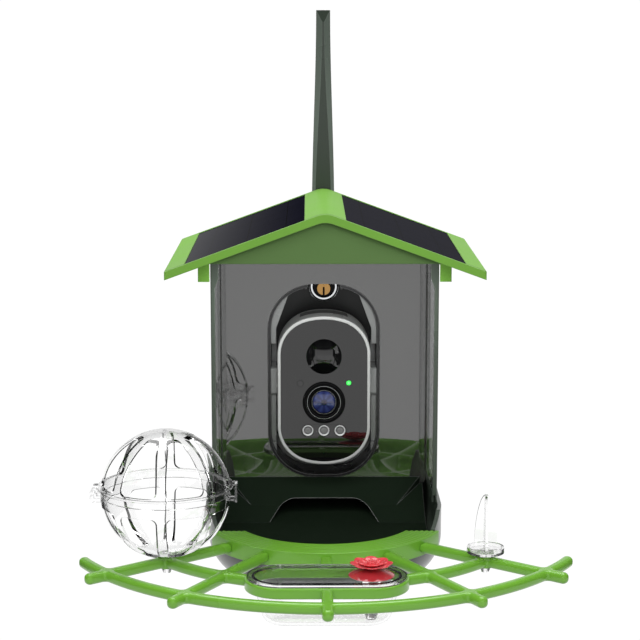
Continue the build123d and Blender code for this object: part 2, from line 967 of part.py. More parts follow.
# Grey cradle that carries the camera on two bosses
with BuildPart() as camera_cradle:
    cradle_inset = 2 * slip + bay_wall
    extrude(bay_outline(cradle_front, cradle_inset), amount=cradle_front - cradle_back)
    low_z = opening_low - overrun
    with BuildSketch(front_plane(cradle_front - overrun)) as room:
        with BuildLine():
            Polyline(
                (-cradle_half, low_z),
                (-cradle_half, cradle_shoulder_z),
                (-cradle_top_half, opening_top + overrun),
                (cradle_top_half, opening_top + overrun),
                (cradle_half, cradle_shoulder_z),
                (cradle_half, low_z),
                close=True,
            )
        make_face()
    extrude(
        room.sketch,
        amount=-(cradle_back - cradle_bridge - cradle_front + overrun),
        mode=Mode.SUBTRACT,
    )
    bridge_top = opening_low + cradle_inset + cradle_bridge_height
    with BuildSketch(front_plane(cradle_front)) as passage:
        with BuildLine():
            Polyline(
                (-cradle_web_half, bridge_top),
                (-cradle_half, cradle_web_z),
                (-cradle_half, cradle_shoulder_z),
                (-cradle_top_half, opening_top + overrun),
                (cradle_top_half, opening_top + overrun),
                (cradle_half, cradle_shoulder_z),
                (cradle_half, cradle_web_z),
                (cradle_web_half, bridge_top),
                close=True,
            )
        make_face()
    extrude(passage.sketch, amount=-(cradle_back - cradle_front + overrun), mode=Mode.SUBTRACT)
    for side in (-1, 1):
        outer_x = side * (opening_width / 2 - cradle_inset)
        inner_x = side * boss_inner
        cut_span = sorted((side * (cradle_half - overrun), side * opening_width / 2))
        block(
            cut_span,
            (cradle_front - overrun, cradle_front + cradle_notch_depth),
            (cradle_notch_low, cradle_notch_top),
            Mode.SUBTRACT,
        )
        block(
            cut_span,
            (cradle_front - overrun, cradle_front + cradle_seam),
            (cradle_seam_z, cradle_seam_z + cradle_seam),
            Mode.SUBTRACT,
        )
        block(
            sorted((inner_x, outer_x)),
            (boss_front, boss_front + boss_depth),
            (boss_low, cradle_notch_low),
        )
        rod(
            (side * (boss_inner - overrun), tilt_y, tilt_z),
            (side * (opening_width / 2), tilt_y, tilt_z),
            pin_radius + running,
            Mode.SUBTRACT,
        )
    boss_edges = camera_cradle.edges().filter_by(Axis.X).group_by(Axis.Y)[0]
    fillet(boss_edges, boss_rounding)

# Camera casing: front tube with its pale rim, rear cover, seal and pivot pins
def port_band(y, half, proud):
    """The arched strip of the port in the camera's top, standing proud of the shell by a given amount."""
    with BuildSketch(front_plane(y)) as band:
        add(face_outline(y, -proud))
        add(face_outline(y, port_depth), mode=Mode.SUBTRACT)
        with Locations((0, camera_top)):
            Rectangle(2 * half, camera_height, mode=Mode.INTERSECT)
    return band.sketch


with BuildPart() as camera_shell:
    extrude(face_outline(camera_front, 0), amount=-shell_depth)
    fillet(camera_shell.faces().sort_by(Axis.Y)[0].edges(), rim_rounding)
    extrude(
        face_outline(camera_front - overrun, camera_wall),
        amount=-(shell_depth + 2 * overrun),
        mode=Mode.SUBTRACT,
    )
    ledge_front = plate_back + air
    with BuildSketch(front_plane(ledge_front)) as ledge:
        add(face_outline(ledge_front, camera_wall - slip))
        add(face_outline(ledge_front, camera_wall + ledge_width), mode=Mode.SUBTRACT)
    extrude(ledge.sketch, amount=-ledge_depth)
    port_slot = port_band(port_front, port_half, overrun)
    extrude(port_slot, amount=port_front - port_back, mode=Mode.SUBTRACT)
    rod((0, button_y, camera_low - overrun), (0, button_y, tilt_z), button_radius + air, Mode.SUBTRACT)
    rod(
        (-camera_width, tilt_y, tilt_z),
        (camera_width, tilt_y, tilt_z),
        pin_radius + running,
        Mode.SUBTRACT,
    )
with BuildPart() as port_cover:
    cover_band = port_band(port_front + slip, port_half - slip, 0)
    extrude(cover_band, amount=port_front - port_back + 2 * slip)
seal_front = camera_front + shell_depth
with BuildPart() as camera_seal:
    extrude(face_outline(seal_front, air), amount=-seal_thickness)
    extrude(face_outline(seal_front, camera_wall), amount=-seal_thickness, mode=Mode.SUBTRACT)
cover_front = seal_front + seal_thickness
cover_depth = camera_back_y - cover_front
with BuildPart() as cover_room:
    extrude(face_outline(cover_front - overrun, camera_wall), amount=camera_wall - cover_depth - overrun)
    fillet(cover_room.faces().sort_by(Axis.Y)[-1].edges(), back_rounding - camera_wall)
with BuildPart() as camera_back:
    extrude(face_outline(cover_front, 0), amount=-cover_depth)
    fillet(camera_back.faces().sort_by(Axis.Y)[-1].edges(), back_rounding)
    add(cover_room.part, mode=Mode.SUBTRACT)
with BuildPart() as tilt_pins:
    shell_inner = camera_width / 2 - camera_wall
    for side in (-1, 1):
        head_end = side * (shell_inner - slip / 2)
        rod((head_end - side * pin_head, tilt_y, tilt_z), (side * pin_end, tilt_y, tilt_z), pin_radius)
        rod(
            (head_end - side * pin_head, tilt_y, tilt_z),
            (head_end, tilt_y, tilt_z),
            pin_head_radius,
        )

# Dark face plate and what looks out through it
plate_inset = camera_wall + plate_gap
led_length = 2 * led_pitch + led_plate_height
with BuildPart() as face_plate:
    extrude(face_outline(plate_front, plate_inset), amount=-plate_thickness)
    with BuildSketch(front_plane(plate_front - overrun)) as ports:
        with Locations((0, pir_z)):
            Circle(pir_radius + slip)
        with Locations((0, lens_z)):
            Circle(lens_radius + plate_gap)
        with Locations((0, led_z)):
            SlotOverall(led_length + 2 * plate_gap, led_plate_height + 2 * plate_gap)
        with Locations((status_x, status_z)):
            Circle(status_radius + slip)
        with Locations((sensor_x, sensor_z)):
            Circle(sensor_radius + slip)
        with Locations((0, mic_z)):
            Circle(mic_radius)
    extrude(ports.sketch, amount=-(plate_thickness + 2 * overrun), mode=Mode.SUBTRACT)
with BuildPart() as circuit_board:
    extrude(face_outline(board_front, board_inset), amount=-board_thickness)
    rod(
        (0, button_y, camera_low),
        (0, button_y, camera_low + camera_wall + board_inset),
        button_flange_radius,
        Mode.SUBTRACT,
    )
seat_y = board_front
with BuildPart() as pir_dome:
    with BuildSketch(Plane(origin=(0, 0, pir_z), x_dir=(1, 0, 0), z_dir=(0, 0, 1))) as dome:
        with BuildLine():
            Line((0, seat_y), (pir_radius, seat_y))
            Line((pir_radius, seat_y), (pir_radius, plate_front))
            bend, rise = cap_middle(pir_radius, pir_height)
            ThreePointArc(
                (pir_radius, plate_front),
                (bend, plate_front - rise),
                (0, plate_front - pir_height),
            )
            Line((0, plate_front - pir_height), (0, seat_y))
        make_face()
    revolve(dome.sketch, axis=depth_axis(pir_z))
step = [share * lens_radius for share in lens_step_shares]
with BuildPart() as lens_barrel:
    lens_section = ring_profile(
        (
            (glass_radius + plate_gap, seat_y),
            (lens_radius, seat_y),
            (lens_radius, lens_front + lens_chamfer),
            (step[0], lens_front),
            (step[1], lens_front),
            (step[2], plate_front - slip),
            (step[3], plate_front),
            (step[4], plate_back - slip),
            (glass_radius + plate_gap, plate_back - slip),
        ),
        lens_z,
    )
    revolve(lens_section, axis=depth_axis(lens_z))
with BuildPart() as lens_glass:
    with BuildSketch(Plane(origin=(0, 0, lens_z), x_dir=(1, 0, 0), z_dir=(0, 0, 1))) as lens_bow:
        with BuildLine():
            Line((0, seat_y), (glass_radius, seat_y))
            Line((glass_radius, seat_y), (glass_radius, seat_y - glass_edge))
            bend, rise = cap_middle(glass_radius, seat_y - glass_edge - glass_front)
            ThreePointArc(
                (glass_radius, seat_y - glass_edge),
                (bend, seat_y - glass_edge - rise),
                (0, glass_front),
            )
            Line((0, glass_front), (0, seat_y))
        make_face()
    revolve(lens_bow.sketch, axis=depth_axis(lens_z))
led_places = [(place * led_pitch, led_z) for place in (-1, 0, 1)]
with BuildPart() as led_plate:
    with BuildSketch(front_plane(seat_y)) as pill:
        with Locations((0, led_z)):
            SlotOverall(led_length, led_plate_height)
        with Locations(*led_places):
            Circle(led_radius + plate_gap, mode=Mode.SUBTRACT)
    extrude(amount=seat_y - led_plate_front)
with BuildPart() as ir_leds:
    for place in led_places:
        bead = ring_profile(
            (
                (0, seat_y),
                (led_radius, seat_y),
                (led_radius, seat_y - led_base),
                (led_bead_radius, seat_y - led_base),
                (led_bead_radius, led_bead_front + led_bead_bevel),
                (led_bead_radius / 2, led_bead_front),
                (0, led_bead_front),
            ),
            place[1],
            place[0],
        )
        revolve(bead, axis=depth_axis(place[1], place[0]))
with BuildPart() as status_led:
    rod((status_x, seat_y, status_z), (status_x, light_front, status_z), status_radius)
with BuildPart() as light_sensor:
    rod((sensor_x, seat_y, sensor_z), (sensor_x, light_front, sensor_z), sensor_radius)

# What the camera holds inside
cell_y = camera_back_y - camera_wall - air - cell_radius
with BuildPart() as battery_cells:
    for side in (-1, 1):
        cell_x = side * cell_pitch / 2
        rod((cell_x, cell_y, cell_low), (cell_x, cell_y, cell_low + cell_length), cell_radius)
        nub_low = cell_low + cell_length
        rod((cell_x, cell_y, nub_low), (cell_x, cell_y, nub_low + cell_nub), cell_nub_radius)
speaker_front = board_front + board_thickness + plate_gap
with BuildPart() as speaker:
    rod((0, speaker_front, speaker_z), (0, speaker_front + speaker_depth, speaker_z), speaker_radius)
    rod(
        (0, speaker_front + speaker_depth, speaker_z),
        (0, speaker_front + speaker_depth + overrun, speaker_z),
        speaker_radius / 2,
    )
flange_low = camera_low + camera_wall + button_lift
with BuildPart() as power_button:
    rod((0, button_y, button_low), (0, button_y, flange_low + button_flange), button_radius)
    rod(
        (0, button_y, flange_low),
        (0, button_y, flange_low + button_flange),
        button_flange_radius,
    )
    fillet(power_button.faces().sort_by(Axis.Z)[0].edges(), edge_rounding)

# Lock above the camera: bright ring with its tube, brass screw with a slot
bezel_back = bezel_front + bezel_depth
with BuildPart() as lock_bezel:
    rod((0, bezel_front, bezel_z), (0, bezel_back + bezel_plate, bezel_z), bezel_radius)
    fillet(lock_bezel.faces().sort_by(Axis.Y)[0].edges(), edge_rounding)
    rod((0, bezel_front - overrun, bezel_z), (0, bezel_back, bezel_z), bezel_inner, Mode.SUBTRACT)
    rod((0, bezel_back + bezel_plate, lock_z), (0, back_inner, lock_z), lock_tube_radius)
    rod(
        (0, bezel_back - slip, lock_z),
        (0, back_inner + overrun, lock_z),
        lock_shaft_radius + running,
        Mode.SUBTRACT,
    )
with BuildPart() as lock_screw:
    disc_back = lock_disc_front + lock_disc
    rod((0, lock_disc_front, lock_z), (0, disc_back, lock_z), lock_disc_radius)
    fillet(lock_screw.faces().sort_by(Axis.Y)[0].edges(), lock_rounding)
    rod((0, disc_back, lock_z), (0, lock_shaft_end, lock_z), lock_shaft_radius)
    block(
        (-lock_slot / 2, lock_slot / 2),
        (lock_disc_front - overrun, lock_disc_front + lock_slot_depth),
        (lock_z - lock_disc_radius - overrun, lock_z + lock_disc_radius + overrun),
        Mode.SUBTRACT,
    )

# Sprung contact pins on the wall, pads and wires in the roof
with BuildPart() as contact_pins:
    for side in (-1, 1):
        pin_x = side * contact_x
        rod(
            (pin_x, contact_y, contact_pin_low),
            (pin_x, contact_y, liner_low - contact_pad - air),
            contact_pin_radius,
        )
        rod(
            (pin_x, contact_y, contact_block_low - slip - contact_pin_radius),
            (pin_x, contact_y, contact_block_low - slip),
            contact_pin_head,
        )
with BuildPart() as contact_pads:
    for side in (-1, 1):
        pad_x = side * contact_x
        rod((pad_x, contact_y, liner_low - contact_pad), (pad_x, contact_y, liner_low), contact_pad_radius)
        rod((pad_x, contact_y, liner_low), (pad_x, contact_y, liner_top + slip), contact_stud_radius)

# Rear bracket for a wall or a tree
bracket_y = tray_back + pad_thickness
with BuildPart() as wall_bracket:
    far_y = bracket_y + bracket_reach
    far_half = pad_half + bracket_sheet + bracket_flange
    with BuildSketch(Plane.XY.offset(bracket_low)) as hat:
        with BuildLine():
            Polyline(
                (-far_half, far_y + bracket_sheet),
                (-far_half, far_y),
                (-pad_half, far_y),
                (-pad_half, bracket_y),
                (pad_half, bracket_y),
                (pad_half, far_y),
                (far_half, far_y),
                (far_half, far_y + bracket_sheet),
                (pad_half - bracket_sheet, far_y + bracket_sheet),
                (pad_half - bracket_sheet, bracket_y + bracket_sheet),
                (bracket_sheet - pad_half, bracket_y + bracket_sheet),
                (bracket_sheet - pad_half, far_y + bracket_sheet),
                close=True,
            )
        make_face()
    extrude(amount=bracket_high - bracket_low)
    flange_edges = wall_bracket.edges().filter_by(Axis.Y)
    fillet([edge for edge in flange_edges if abs(edge.center().X) > far_half - slip], bracket_corner)
    for side in (-1, 1):
        for height in (-bracket_screw_z, bracket_screw_z):
            rod(
                (side * bracket_screw_x, bracket_y - overrun, bracket_mid + height),
                (side * bracket_screw_x, bracket_y + bracket_sheet + overrun, bracket_mid + height),
                screw_hole,
                Mode.SUBTRACT,
            )
            rod(
                (side * wall_hole_x, far_y - overrun, bracket_mid + height),
                (side * wall_hole_x, far_y + bracket_sheet + overrun, bracket_mid + height),
                wall_hole_radius,
                Mode.SUBTRACT,
            )
with BuildPart() as bracket_screws:
    for side in (-1, 1):
        for height in (-bracket_screw_z, bracket_screw_z):
            head_y = bracket_y + bracket_sheet + screw_head
            head_place = (side * bracket_screw_x, head_y, bracket_mid + height)
            screw(head_place, (0, -1, 0), bracket_screw_length)

# Antenna: connector on the rear wall, swivel knuckle, pin and folding blade
nut_back = tray_back + antenna_nut
with BuildPart() as antenna_base:
    rod((0, tray_back - antenna_shank, antenna_z), (0, tray_back, antenna_z), antenna_shank_radius)
    rod((0, tray_back, antenna_z), (0, nut_back, antenna_z), antenna_nut_radius)
    fillet(antenna_base.faces().sort_by(Axis.Y)[-1].edges(), edge_rounding)
    rod(
        (0, nut_back - swivel_depth, antenna_z),
        (0, nut_back + overrun, antenna_z),
        swivel_radius + running,
        Mode.SUBTRACT,
    )
collar_front = nut_back + air
collar_back = collar_front + collar_length
with BuildPart() as antenna_knuckle:
    rod((0, nut_back - swivel_depth + air, antenna_z), (0, collar_back, antenna_z), swivel_radius)
    rod((0, collar_front, antenna_z), (0, collar_back, antenna_z), collar_radius)
    block(
        (-cheek_half, cheek_half),
        (collar_back, antenna_y - tongue_radius - air),
        (antenna_z - cheek_radius, antenna_z + cheek_radius),
    )
    for side in (-1, 1):
        cheek_span = sorted((side * cheek_gap, side * cheek_half))
        block(
            cheek_span,
            (collar_back, antenna_y),
            (antenna_z - cheek_radius, antenna_z + cheek_radius),
        )
        rod(
            (side * cheek_gap, antenna_y, antenna_z),
            (side * cheek_half, antenna_y, antenna_z),
            cheek_radius,
        )
    rod(
        (-cheek_half - overrun, antenna_y, antenna_z),
        (cheek_half + overrun, antenna_y, antenna_z),
        hinge_pin_radius + running,
        Mode.SUBTRACT,
    )
with BuildPart() as antenna_pin:
    rod((-cheek_half, antenna_y, antenna_z), (cheek_half, antenna_y, antenna_z), hinge_pin_radius)


def blade_section(z, half_width, flat_half):
    """A flat section of the antenna: a narrow front and back between two bevels."""
    rise = (z - blade_low) / (blade_top - blade_low)
    deep = (blade_low_thickness + (blade_top_thickness - blade_low_thickness) * rise) / 2
    with BuildSketch(Plane.XY.offset(z)) as section:
        with BuildLine():
            Polyline(
                (-half_width, antenna_y),
                (-flat_half, antenna_y - deep),
                (flat_half, antenna_y - deep),
                (half_width, antenna_y),
                (flat_half, antenna_y + deep),
                (-flat_half, antenna_y + deep),
                close=True,
            )
        make_face()
    return section.sketch


with BuildPart() as antenna_blade:
    stations = zip((blade_low, *blade_bends, blade_top), blade_halves, blade_flats)
    loft([blade_section(*station).faces()[0] for station in stations])
    tip_depth = blade_low_thickness / 2
    tip_drop = blade_tip * blade_low_thickness / blade_top_thickness
    with BuildSketch(Plane.YZ.offset(-blade_halves[0])) as tip_cut:
        with BuildLine():
            Polyline(
                (antenna_y, blade_top + overrun),
                (antenna_y, blade_top),
                (antenna_y - tip_depth, blade_top - tip_drop),
                (antenna_y - tip_depth, blade_top + overrun),
                close=True,
            )
        make_face()
    extrude(tip_cut.sketch, amount=2 * blade_halves[0], mode=Mode.SUBTRACT)
    rod((-tongue_half, antenna_y, antenna_z), (tongue_half, antenna_y, antenna_z), tongue_radius)
    block(
        (-tongue_half, tongue_half),
        (antenna_y - blade_low_thickness / 2, antenna_y + blade_low_thickness / 2),
        (antenna_z, blade_low + overrun),
    )
    rod(
        (-cheek_half, antenna_y, antenna_z),
        (cheek_half, antenna_y, antenna_z),
        hinge_pin_radius + running,
        Mode.SUBTRACT,
    )

# Roof: green shell with gables and side skirts
roof_depth = roof_back - roof_front
with BuildPart() as roof_shell:
    with BuildSketch(front_plane(roof_front)) as chevron:
        with BuildLine():
            Polyline(
                (-eave_half, eave_top),
                (0, ridge_top),
                (eave_half, eave_top),
                (eave_half, eave_top - fascia),
                (0, ridge_top - fascia),
                (-eave_half, eave_top - fascia),
                close=True,
            )
        make_face()
        ridge_points = [v for v in chevron.vertices() if abs(v.X) < slip]
        fillet(ridge_points, ridge_rounding)
    extrude(amount=-roof_depth)
    outside = roof_shell.edges().filter_by(Axis.Z)
    fillet(outside, eave_rounding)
    for y in (gable_front, gable_back):
        with BuildSketch(front_plane(y)) as gable:
            with BuildLine():
                reach = (ridge_top - fascia / 2 - gable_low) / slope
                peak = ridge_top - fascia / 2 - gable_bite
                Polyline((-reach, gable_low), (0, peak), (reach, gable_low), close=True)
            make_face()
        extrude(gable.sketch, amount=-gable_wall)
    for side in (-1, 1):
        outer_top = ridge_top - slope * skirt_outer - fascia / 2
        for low_x, high_x, low_y, high_y in (
            (skirt_outer - skirt_wall, skirt_outer, skirt_front, skirt_back),
            (skirt_inner, skirt_outer, skirt_front, skirt_front + skirt_wall),
            (skirt_inner, skirt_outer, skirt_back - skirt_wall, skirt_back),
        ):
            block(sorted((side * low_x, side * high_x)), (low_y, high_y), (skirt_low, outer_top))
    block(
        (-skirt_inner, skirt_inner),
        (gable_front + gable_wall, gable_back),
        (gable_low - overrun, liner_top + slip),
        Mode.SUBTRACT,
    )
    for x in (-roof_boss_x, roof_boss_x):
        for y in roof_boss_ys:
            under = ridge_top - fascia / 2 - slope * roof_boss_x
            rod((x, y, liner_top), (x, y, under), roof_boss_radius)
            rod(
                (x, y, liner_top - overrun),
                (x, y, liner_low + roof_screw_length + slip),
                screw_hole,
                Mode.SUBTRACT,
            )
    for side in (-1, 1):
        tilted = Plane(
            origin=(0, 0, ridge_top),
            x_dir=(side, 0, -slope),
            z_dir=(side * slope, 0, 1),
        )
        solar_mid = (solar_inner + solar_outer) / 2 * slope_length
        solar_span = (solar_outer - solar_inner) * slope_length
        solar_y = side * (solar_front + solar_back) / 2
        with BuildSketch(tilted) as recess:
            with Locations((solar_mid, solar_y)):
                Rectangle(solar_span, solar_back - solar_front)
        extrude(recess.sketch, amount=-solar_recess, mode=Mode.SUBTRACT)
        extrude(recess.sketch, amount=fascia, mode=Mode.SUBTRACT)
        rod(
            (side * contact_x, contact_y, liner_top),
            (side * contact_x, contact_y, ridge_top),
            wire_radius + running,
            Mode.SUBTRACT,
        )


# Solar panels in their recesses
def solar_panel(side):
    """The dark panel of one slope, a little below the green rims."""
    floor = Plane(
        origin=(0, 0, ridge_top),
        x_dir=(side, 0, -slope),
        z_dir=(side * slope, 0, 1),
    ).offset(-solar_recess)
    with BuildPart() as panel:
        with BuildSketch(floor):
            with Locations((solar_mid, side * (solar_front + solar_back) / 2)):
                Rectangle(solar_span - 2 * slip, solar_back - solar_front - 2 * slip)
        extrude(amount=solar_thickness)
    return panel.part


with BuildPart() as solar_panel_left:
    add(solar_panel(-1))
with BuildPart() as solar_panel_right:
    add(solar_panel(1))
with BuildPart() as solar_wires:
    wire_top = ridge_top - slope * contact_x - solar_recess * slope_length - 2 * slip
    for side in (-1, 1):
        wire_x = side * contact_x
        rod((wire_x, contact_y, liner_top + slip), (wire_x, contact_y, wire_top), wire_radius)

# Liner that closes the roof from below, its screws and its seal
with BuildPart() as roof_liner:
    liner_half = skirt_inner - slip
    block(
        (-liner_half, liner_half),
        (gable_front + gable_wall + slip, gable_back - slip),
        (liner_low, liner_top),
    )
    for x in (-roof_boss_x, roof_boss_x):
        for y in roof_boss_ys:
            rod((x, y, liner_low - overrun), (x, y, liner_top + overrun), screw_hole, Mode.SUBTRACT)
    for side in (-1, 1):
        rod(
            (side * contact_x, contact_y, liner_low - overrun),
            (side * contact_x, contact_y, liner_top + overrun),
            contact_stud_radius + running,
            Mode.SUBTRACT,
        )
with BuildPart() as roof_screws:
    for x in (-roof_boss_x, roof_boss_x):
        for y in roof_boss_ys:
            screw((x, y, liner_low - screw_head), (0, 0, 1), roof_screw_length)
with BuildPart() as roof_seal:
    block((-frame_outer, frame_outer), (frame_front, tray_back), (wall_top, liner_low))
    block(
        (-frame_inner, frame_inner),
        (frame_front - overrun, panel_y),
        (wall_top - overrun, liner_low + overrun),
        Mode.SUBTRACT,
    )
    block(
        (-frame_inner, frame_inner),
        (panel_back, back_inner),
        (wall_top - overrun, liner_low + overrun),
        Mode.SUBTRACT,
    )

# Drinking cup in its ring
with BuildPart() as cup_room:
    with BuildSketch(Plane.XY.offset(cup_low + cup_wall)) as room_low:
        with Locations((0, cup_y)):
            SlotOverall(basin_low_length - 2 * cup_wall, basin_low_width - 2 * cup_wall)
    with BuildSketch(Plane.XY.offset(bar_top + flange_height)) as room_top:
        with Locations((0, cup_y)):
            SlotOverall(basin_length - 2 * cup_wall, basin_width - 2 * cup_wall)
    loft()
    fillet(cup_room.faces().sort_by(Axis.Z)[0].edges(), cup_rounding - cup_wall)
with BuildPart() as water_cup:
    with BuildSketch(Plane.XY.offset(cup_low)) as basin_bottom:
        with Locations((0, cup_y)):
            SlotOverall(basin_low_length, basin_low_width)
    with BuildSketch(Plane.XY.offset(bar_top)) as basin_top:
        with Locations((0, cup_y)):
            SlotOverall(basin_length, basin_width)
    loft()
    fillet(water_cup.faces().sort_by(Axis.Z)[0].edges(), cup_rounding)
    with BuildSketch(Plane.XY.offset(bar_top)) as cup_flange:
        with Locations((0, cup_y)):
            SlotOverall(flange_length, flange_width)
    extrude(amount=flange_height)
    add(cup_room.part, mode=Mode.SUBTRACT)

# Flower in the cup
flower_mid = flower_base_low + flower_base_height
with BuildPart() as flower_base:
    with BuildSketch(front_plane(flower_y)) as base_section:
        with BuildLine():
            Line((flower_x, flower_base_low), (flower_x + flower_base_radius, flower_base_low))
            bend, rise = cap_middle(flower_base_radius, flower_base_height)
            ThreePointArc(
                (flower_x + flower_base_radius, flower_base_low),
                (flower_x + bend, flower_base_low + rise),
                (flower_x, flower_mid),
            )
            Line((flower_x, flower_mid), (flower_x, flower_base_low))
        make_face()
    revolve(base_section.sketch, axis=Axis((flower_x, flower_y, 0), (0, 0, 1)))
with BuildPart() as flower:
    for layer in range(petal_layers):
        reach = petal_reach * petal_layer_share**layer
        half = petal_width * petal_layer_share**layer / 2
        low = flower_mid + layer * petal_thickness
        with BuildSketch(Plane.XY.offset(low)):
            for petal in range(petal_count):
                turn = radians((petal + layer / 2) * 360 / petal_count)
                along = Vector(cos(turn), sin(turn))
                aside = Vector(-sin(turn), cos(turn))
                root = Vector(flower_x, flower_y)
                with BuildLine():
                    Polyline(
                        root - along * half / 2,
                        root + along * reach / 2 + aside * half,
                        root + along * reach,
                        root + along * reach / 2 - aside * half,
                        close=True,
                    )
                make_face()
        extrude(amount=petal_thickness)
    heart_low = flower_mid + petal_layers * petal_thickness
    heart_top = heart_low + flower_heart_height
    rod((flower_x, flower_y, heart_low), (flower_x, flower_y, heart_top), flower_heart_radius)
with BuildPart() as flower_stem:
    floor_z = cup_low + cup_wall
    with BuildSketch(front_plane(flower_y)) as stem_section:
        with BuildLine():
            Polyline(
                (flower_x, floor_z),
                (flower_x + stem_foot_radius, floor_z),
                (flower_x + stem_radius, stem_taper_top),
                (flower_x + stem_radius, flower_base_low),
                (flower_x, flower_base_low),
                close=True,
            )
        make_face()
    revolve(stem_section.sketch, axis=Axis((flower_x, flower_y, 0), (0, 0, 1)))

# Clear ball in two halves, hinged at the left
ball_x = -socket_x
ball_centre = (ball_x, socket_y, ball_z)
inner_ball = ball_radius - ball_wall


def window_cutter(direction):
    """One rounded window between two ribs, above (1) or below (-1) the seam, cut outwards."""

    def half_at(height):
        ring = sqrt(ball_radius**2 - height**2)
        turn = radians(180 / rib_count)
        return ring * sin(turn) - rib_half / cos(turn)

    heights = (window_first, (window_first + window_last) / 2, window_last)
    right = [(ball_x + half_at(height), direction * height) for height in heights]
    left = [(ball_x - half_at(height), direction * height) for height in heights]
    with BuildPart() as cutter:
        with BuildSketch(front_plane(socket_y, ball_z)) as gap:
            with BuildLine():
                Line(left[0], right[0])
                ThreePointArc(*right)
                Line(right[-1], left[-1])
                ThreePointArc(*left)
            make_face()
            fillet(gap.vertices(), window_rounding)
        extrude(gap.sketch, amount=ball_radius + overrun)
    return cutter.part


def ball_half(direction):
    """Half of the clear cage: the shell between the seam and a pole, with its windows cut."""
    with BuildPart() as half:
        with Locations(ball_centre):
            Sphere(ball_radius)
            Sphere(inner_ball, mode=Mode.SUBTRACT)
        if direction > 0:
            z_span = (ball_z - ball_radius - overrun, ball_z + seam)
        else:
            z_span = (ball_z, ball_z + ball_radius + overrun)
        far = ball_radius + overrun
        block((ball_x - far, ball_x + far), (socket_y - far, socket_y + far), z_span, Mode.SUBTRACT)
        cutter = window_cutter(direction)
        for window_turn in range(rib_count):
            angle = (window_turn + 1 / 2) * 360 / rib_count
            add(cutter.rotate(Axis(ball_centre, (0, 0, 1)), angle), mode=Mode.SUBTRACT)
    return half.part


hinge_x = ball_x - ball_hinge_x
hinge_z = ball_z + seam / 2
with BuildPart() as ball_lower:
    add(ball_half(-1))
    snap_stub(ball_x, socket_y, ball_z - inner_ball - ball_wall / 2)
    for side in (-1, 1):
        near = socket_y + side * (knuckle_half + air)
        far = near + side * knuckle_length
        rod((hinge_x, near, hinge_z), (hinge_x, far, hinge_z), knuckle_radius)
        block(
            (hinge_x, ball_x - ball_radius + ball_wall / 2 + air),
            sorted((near, far)),
            (ball_z - band_height, ball_z - air),
        )
    block(
        (ball_x + inner_ball + ball_wall / 2, ball_x + ball_radius + catch_reach),
        (socket_y - clasp_half, socket_y + clasp_half),
        (ball_z - band_height, ball_z - band_height + catch_height),
    )
    pin_half = knuckle_half + air + knuckle_length
    pin_ends = ((hinge_x, socket_y - pin_half, hinge_z), (hinge_x, socket_y + pin_half, hinge_z))
    rod(*pin_ends, ball_pin_radius + running, Mode.SUBTRACT)
with BuildPart() as ball_upper:
    add(ball_half(1))
    with BuildSketch(Plane.XY.offset(ball_z + upper_band - ball_flange)) as flange:
        with Locations((ball_x, socket_y)):
            Circle(ball_flange_radius)
            Circle(ball_radius - ball_wall, mode=Mode.SUBTRACT)
    extrude(amount=ball_flange)
    block(
        (hinge_x, ball_x - ball_radius + ball_wall / 2 + air),
        (socket_y - knuckle_half, socket_y + knuckle_half),
        (ball_z + seam + slip, ball_z + upper_band),
    )
    rod(
        (hinge_x, socket_y - knuckle_half, hinge_z),
        (hinge_x, socket_y + knuckle_half, hinge_z),
        knuckle_radius,
    )
    rod(*pin_ends, ball_pin_radius + running, Mode.SUBTRACT)
with BuildPart() as ball_hinge_pin:
    rod(*pin_ends, ball_pin_radius)
with BuildPart() as ball_clasp:
    clasp_x = ball_x + ball_radius + catch_reach + air
    block(
        (clasp_x, clasp_x + clasp_thickness),
        (socket_y - clasp_half, socket_y + clasp_half),
        (ball_z - clasp_low, ball_z + clasp_high),
    )
    block(
        (ball_x + ball_flange_radius - slip, clasp_x + clasp_thickness),
        (socket_y - clasp_half, socket_y + clasp_half),
        (ball_z + upper_band, ball_z + clasp_high),
    )

# Clear spike: a dish and two crossed fins
with BuildPart() as fruit_spike:
    snap_stub(socket_x, socket_y, dish_low)
    rod((socket_x, socket_y, dish_low), (socket_x, socket_y, dish_top), dish_radius)
    rod(
        (socket_x, socket_y, dish_low + dish_floor),
        (socket_x, socket_y, dish_top + overrun),
        dish_radius - dish_wall,
        Mode.SUBTRACT,
    )
    for turn in (0, 90):
        fin_plane = Plane(
            origin=(socket_x, socket_y, 0),
            x_dir=(cos(radians(turn)), sin(radians(turn)), 0),
            z_dir=(sin(radians(turn)), -cos(radians(turn)), 0),
        )
        with BuildSketch(fin_plane) as bullet:
            with BuildLine():
                Line((-fin_half, dish_low), (fin_half, dish_low))
                Line((fin_half, dish_low), (fin_half, spike_foot))
                EllipticalCenterArc(
                    (0, spike_foot), fin_half, spike_top - spike_foot, start_angle=0, arc_size=180
                )
                Line((-fin_half, spike_foot), (-fin_half, dish_low))
            make_face()
        extrude(bullet.sketch, amount=fin / 2, both=True)

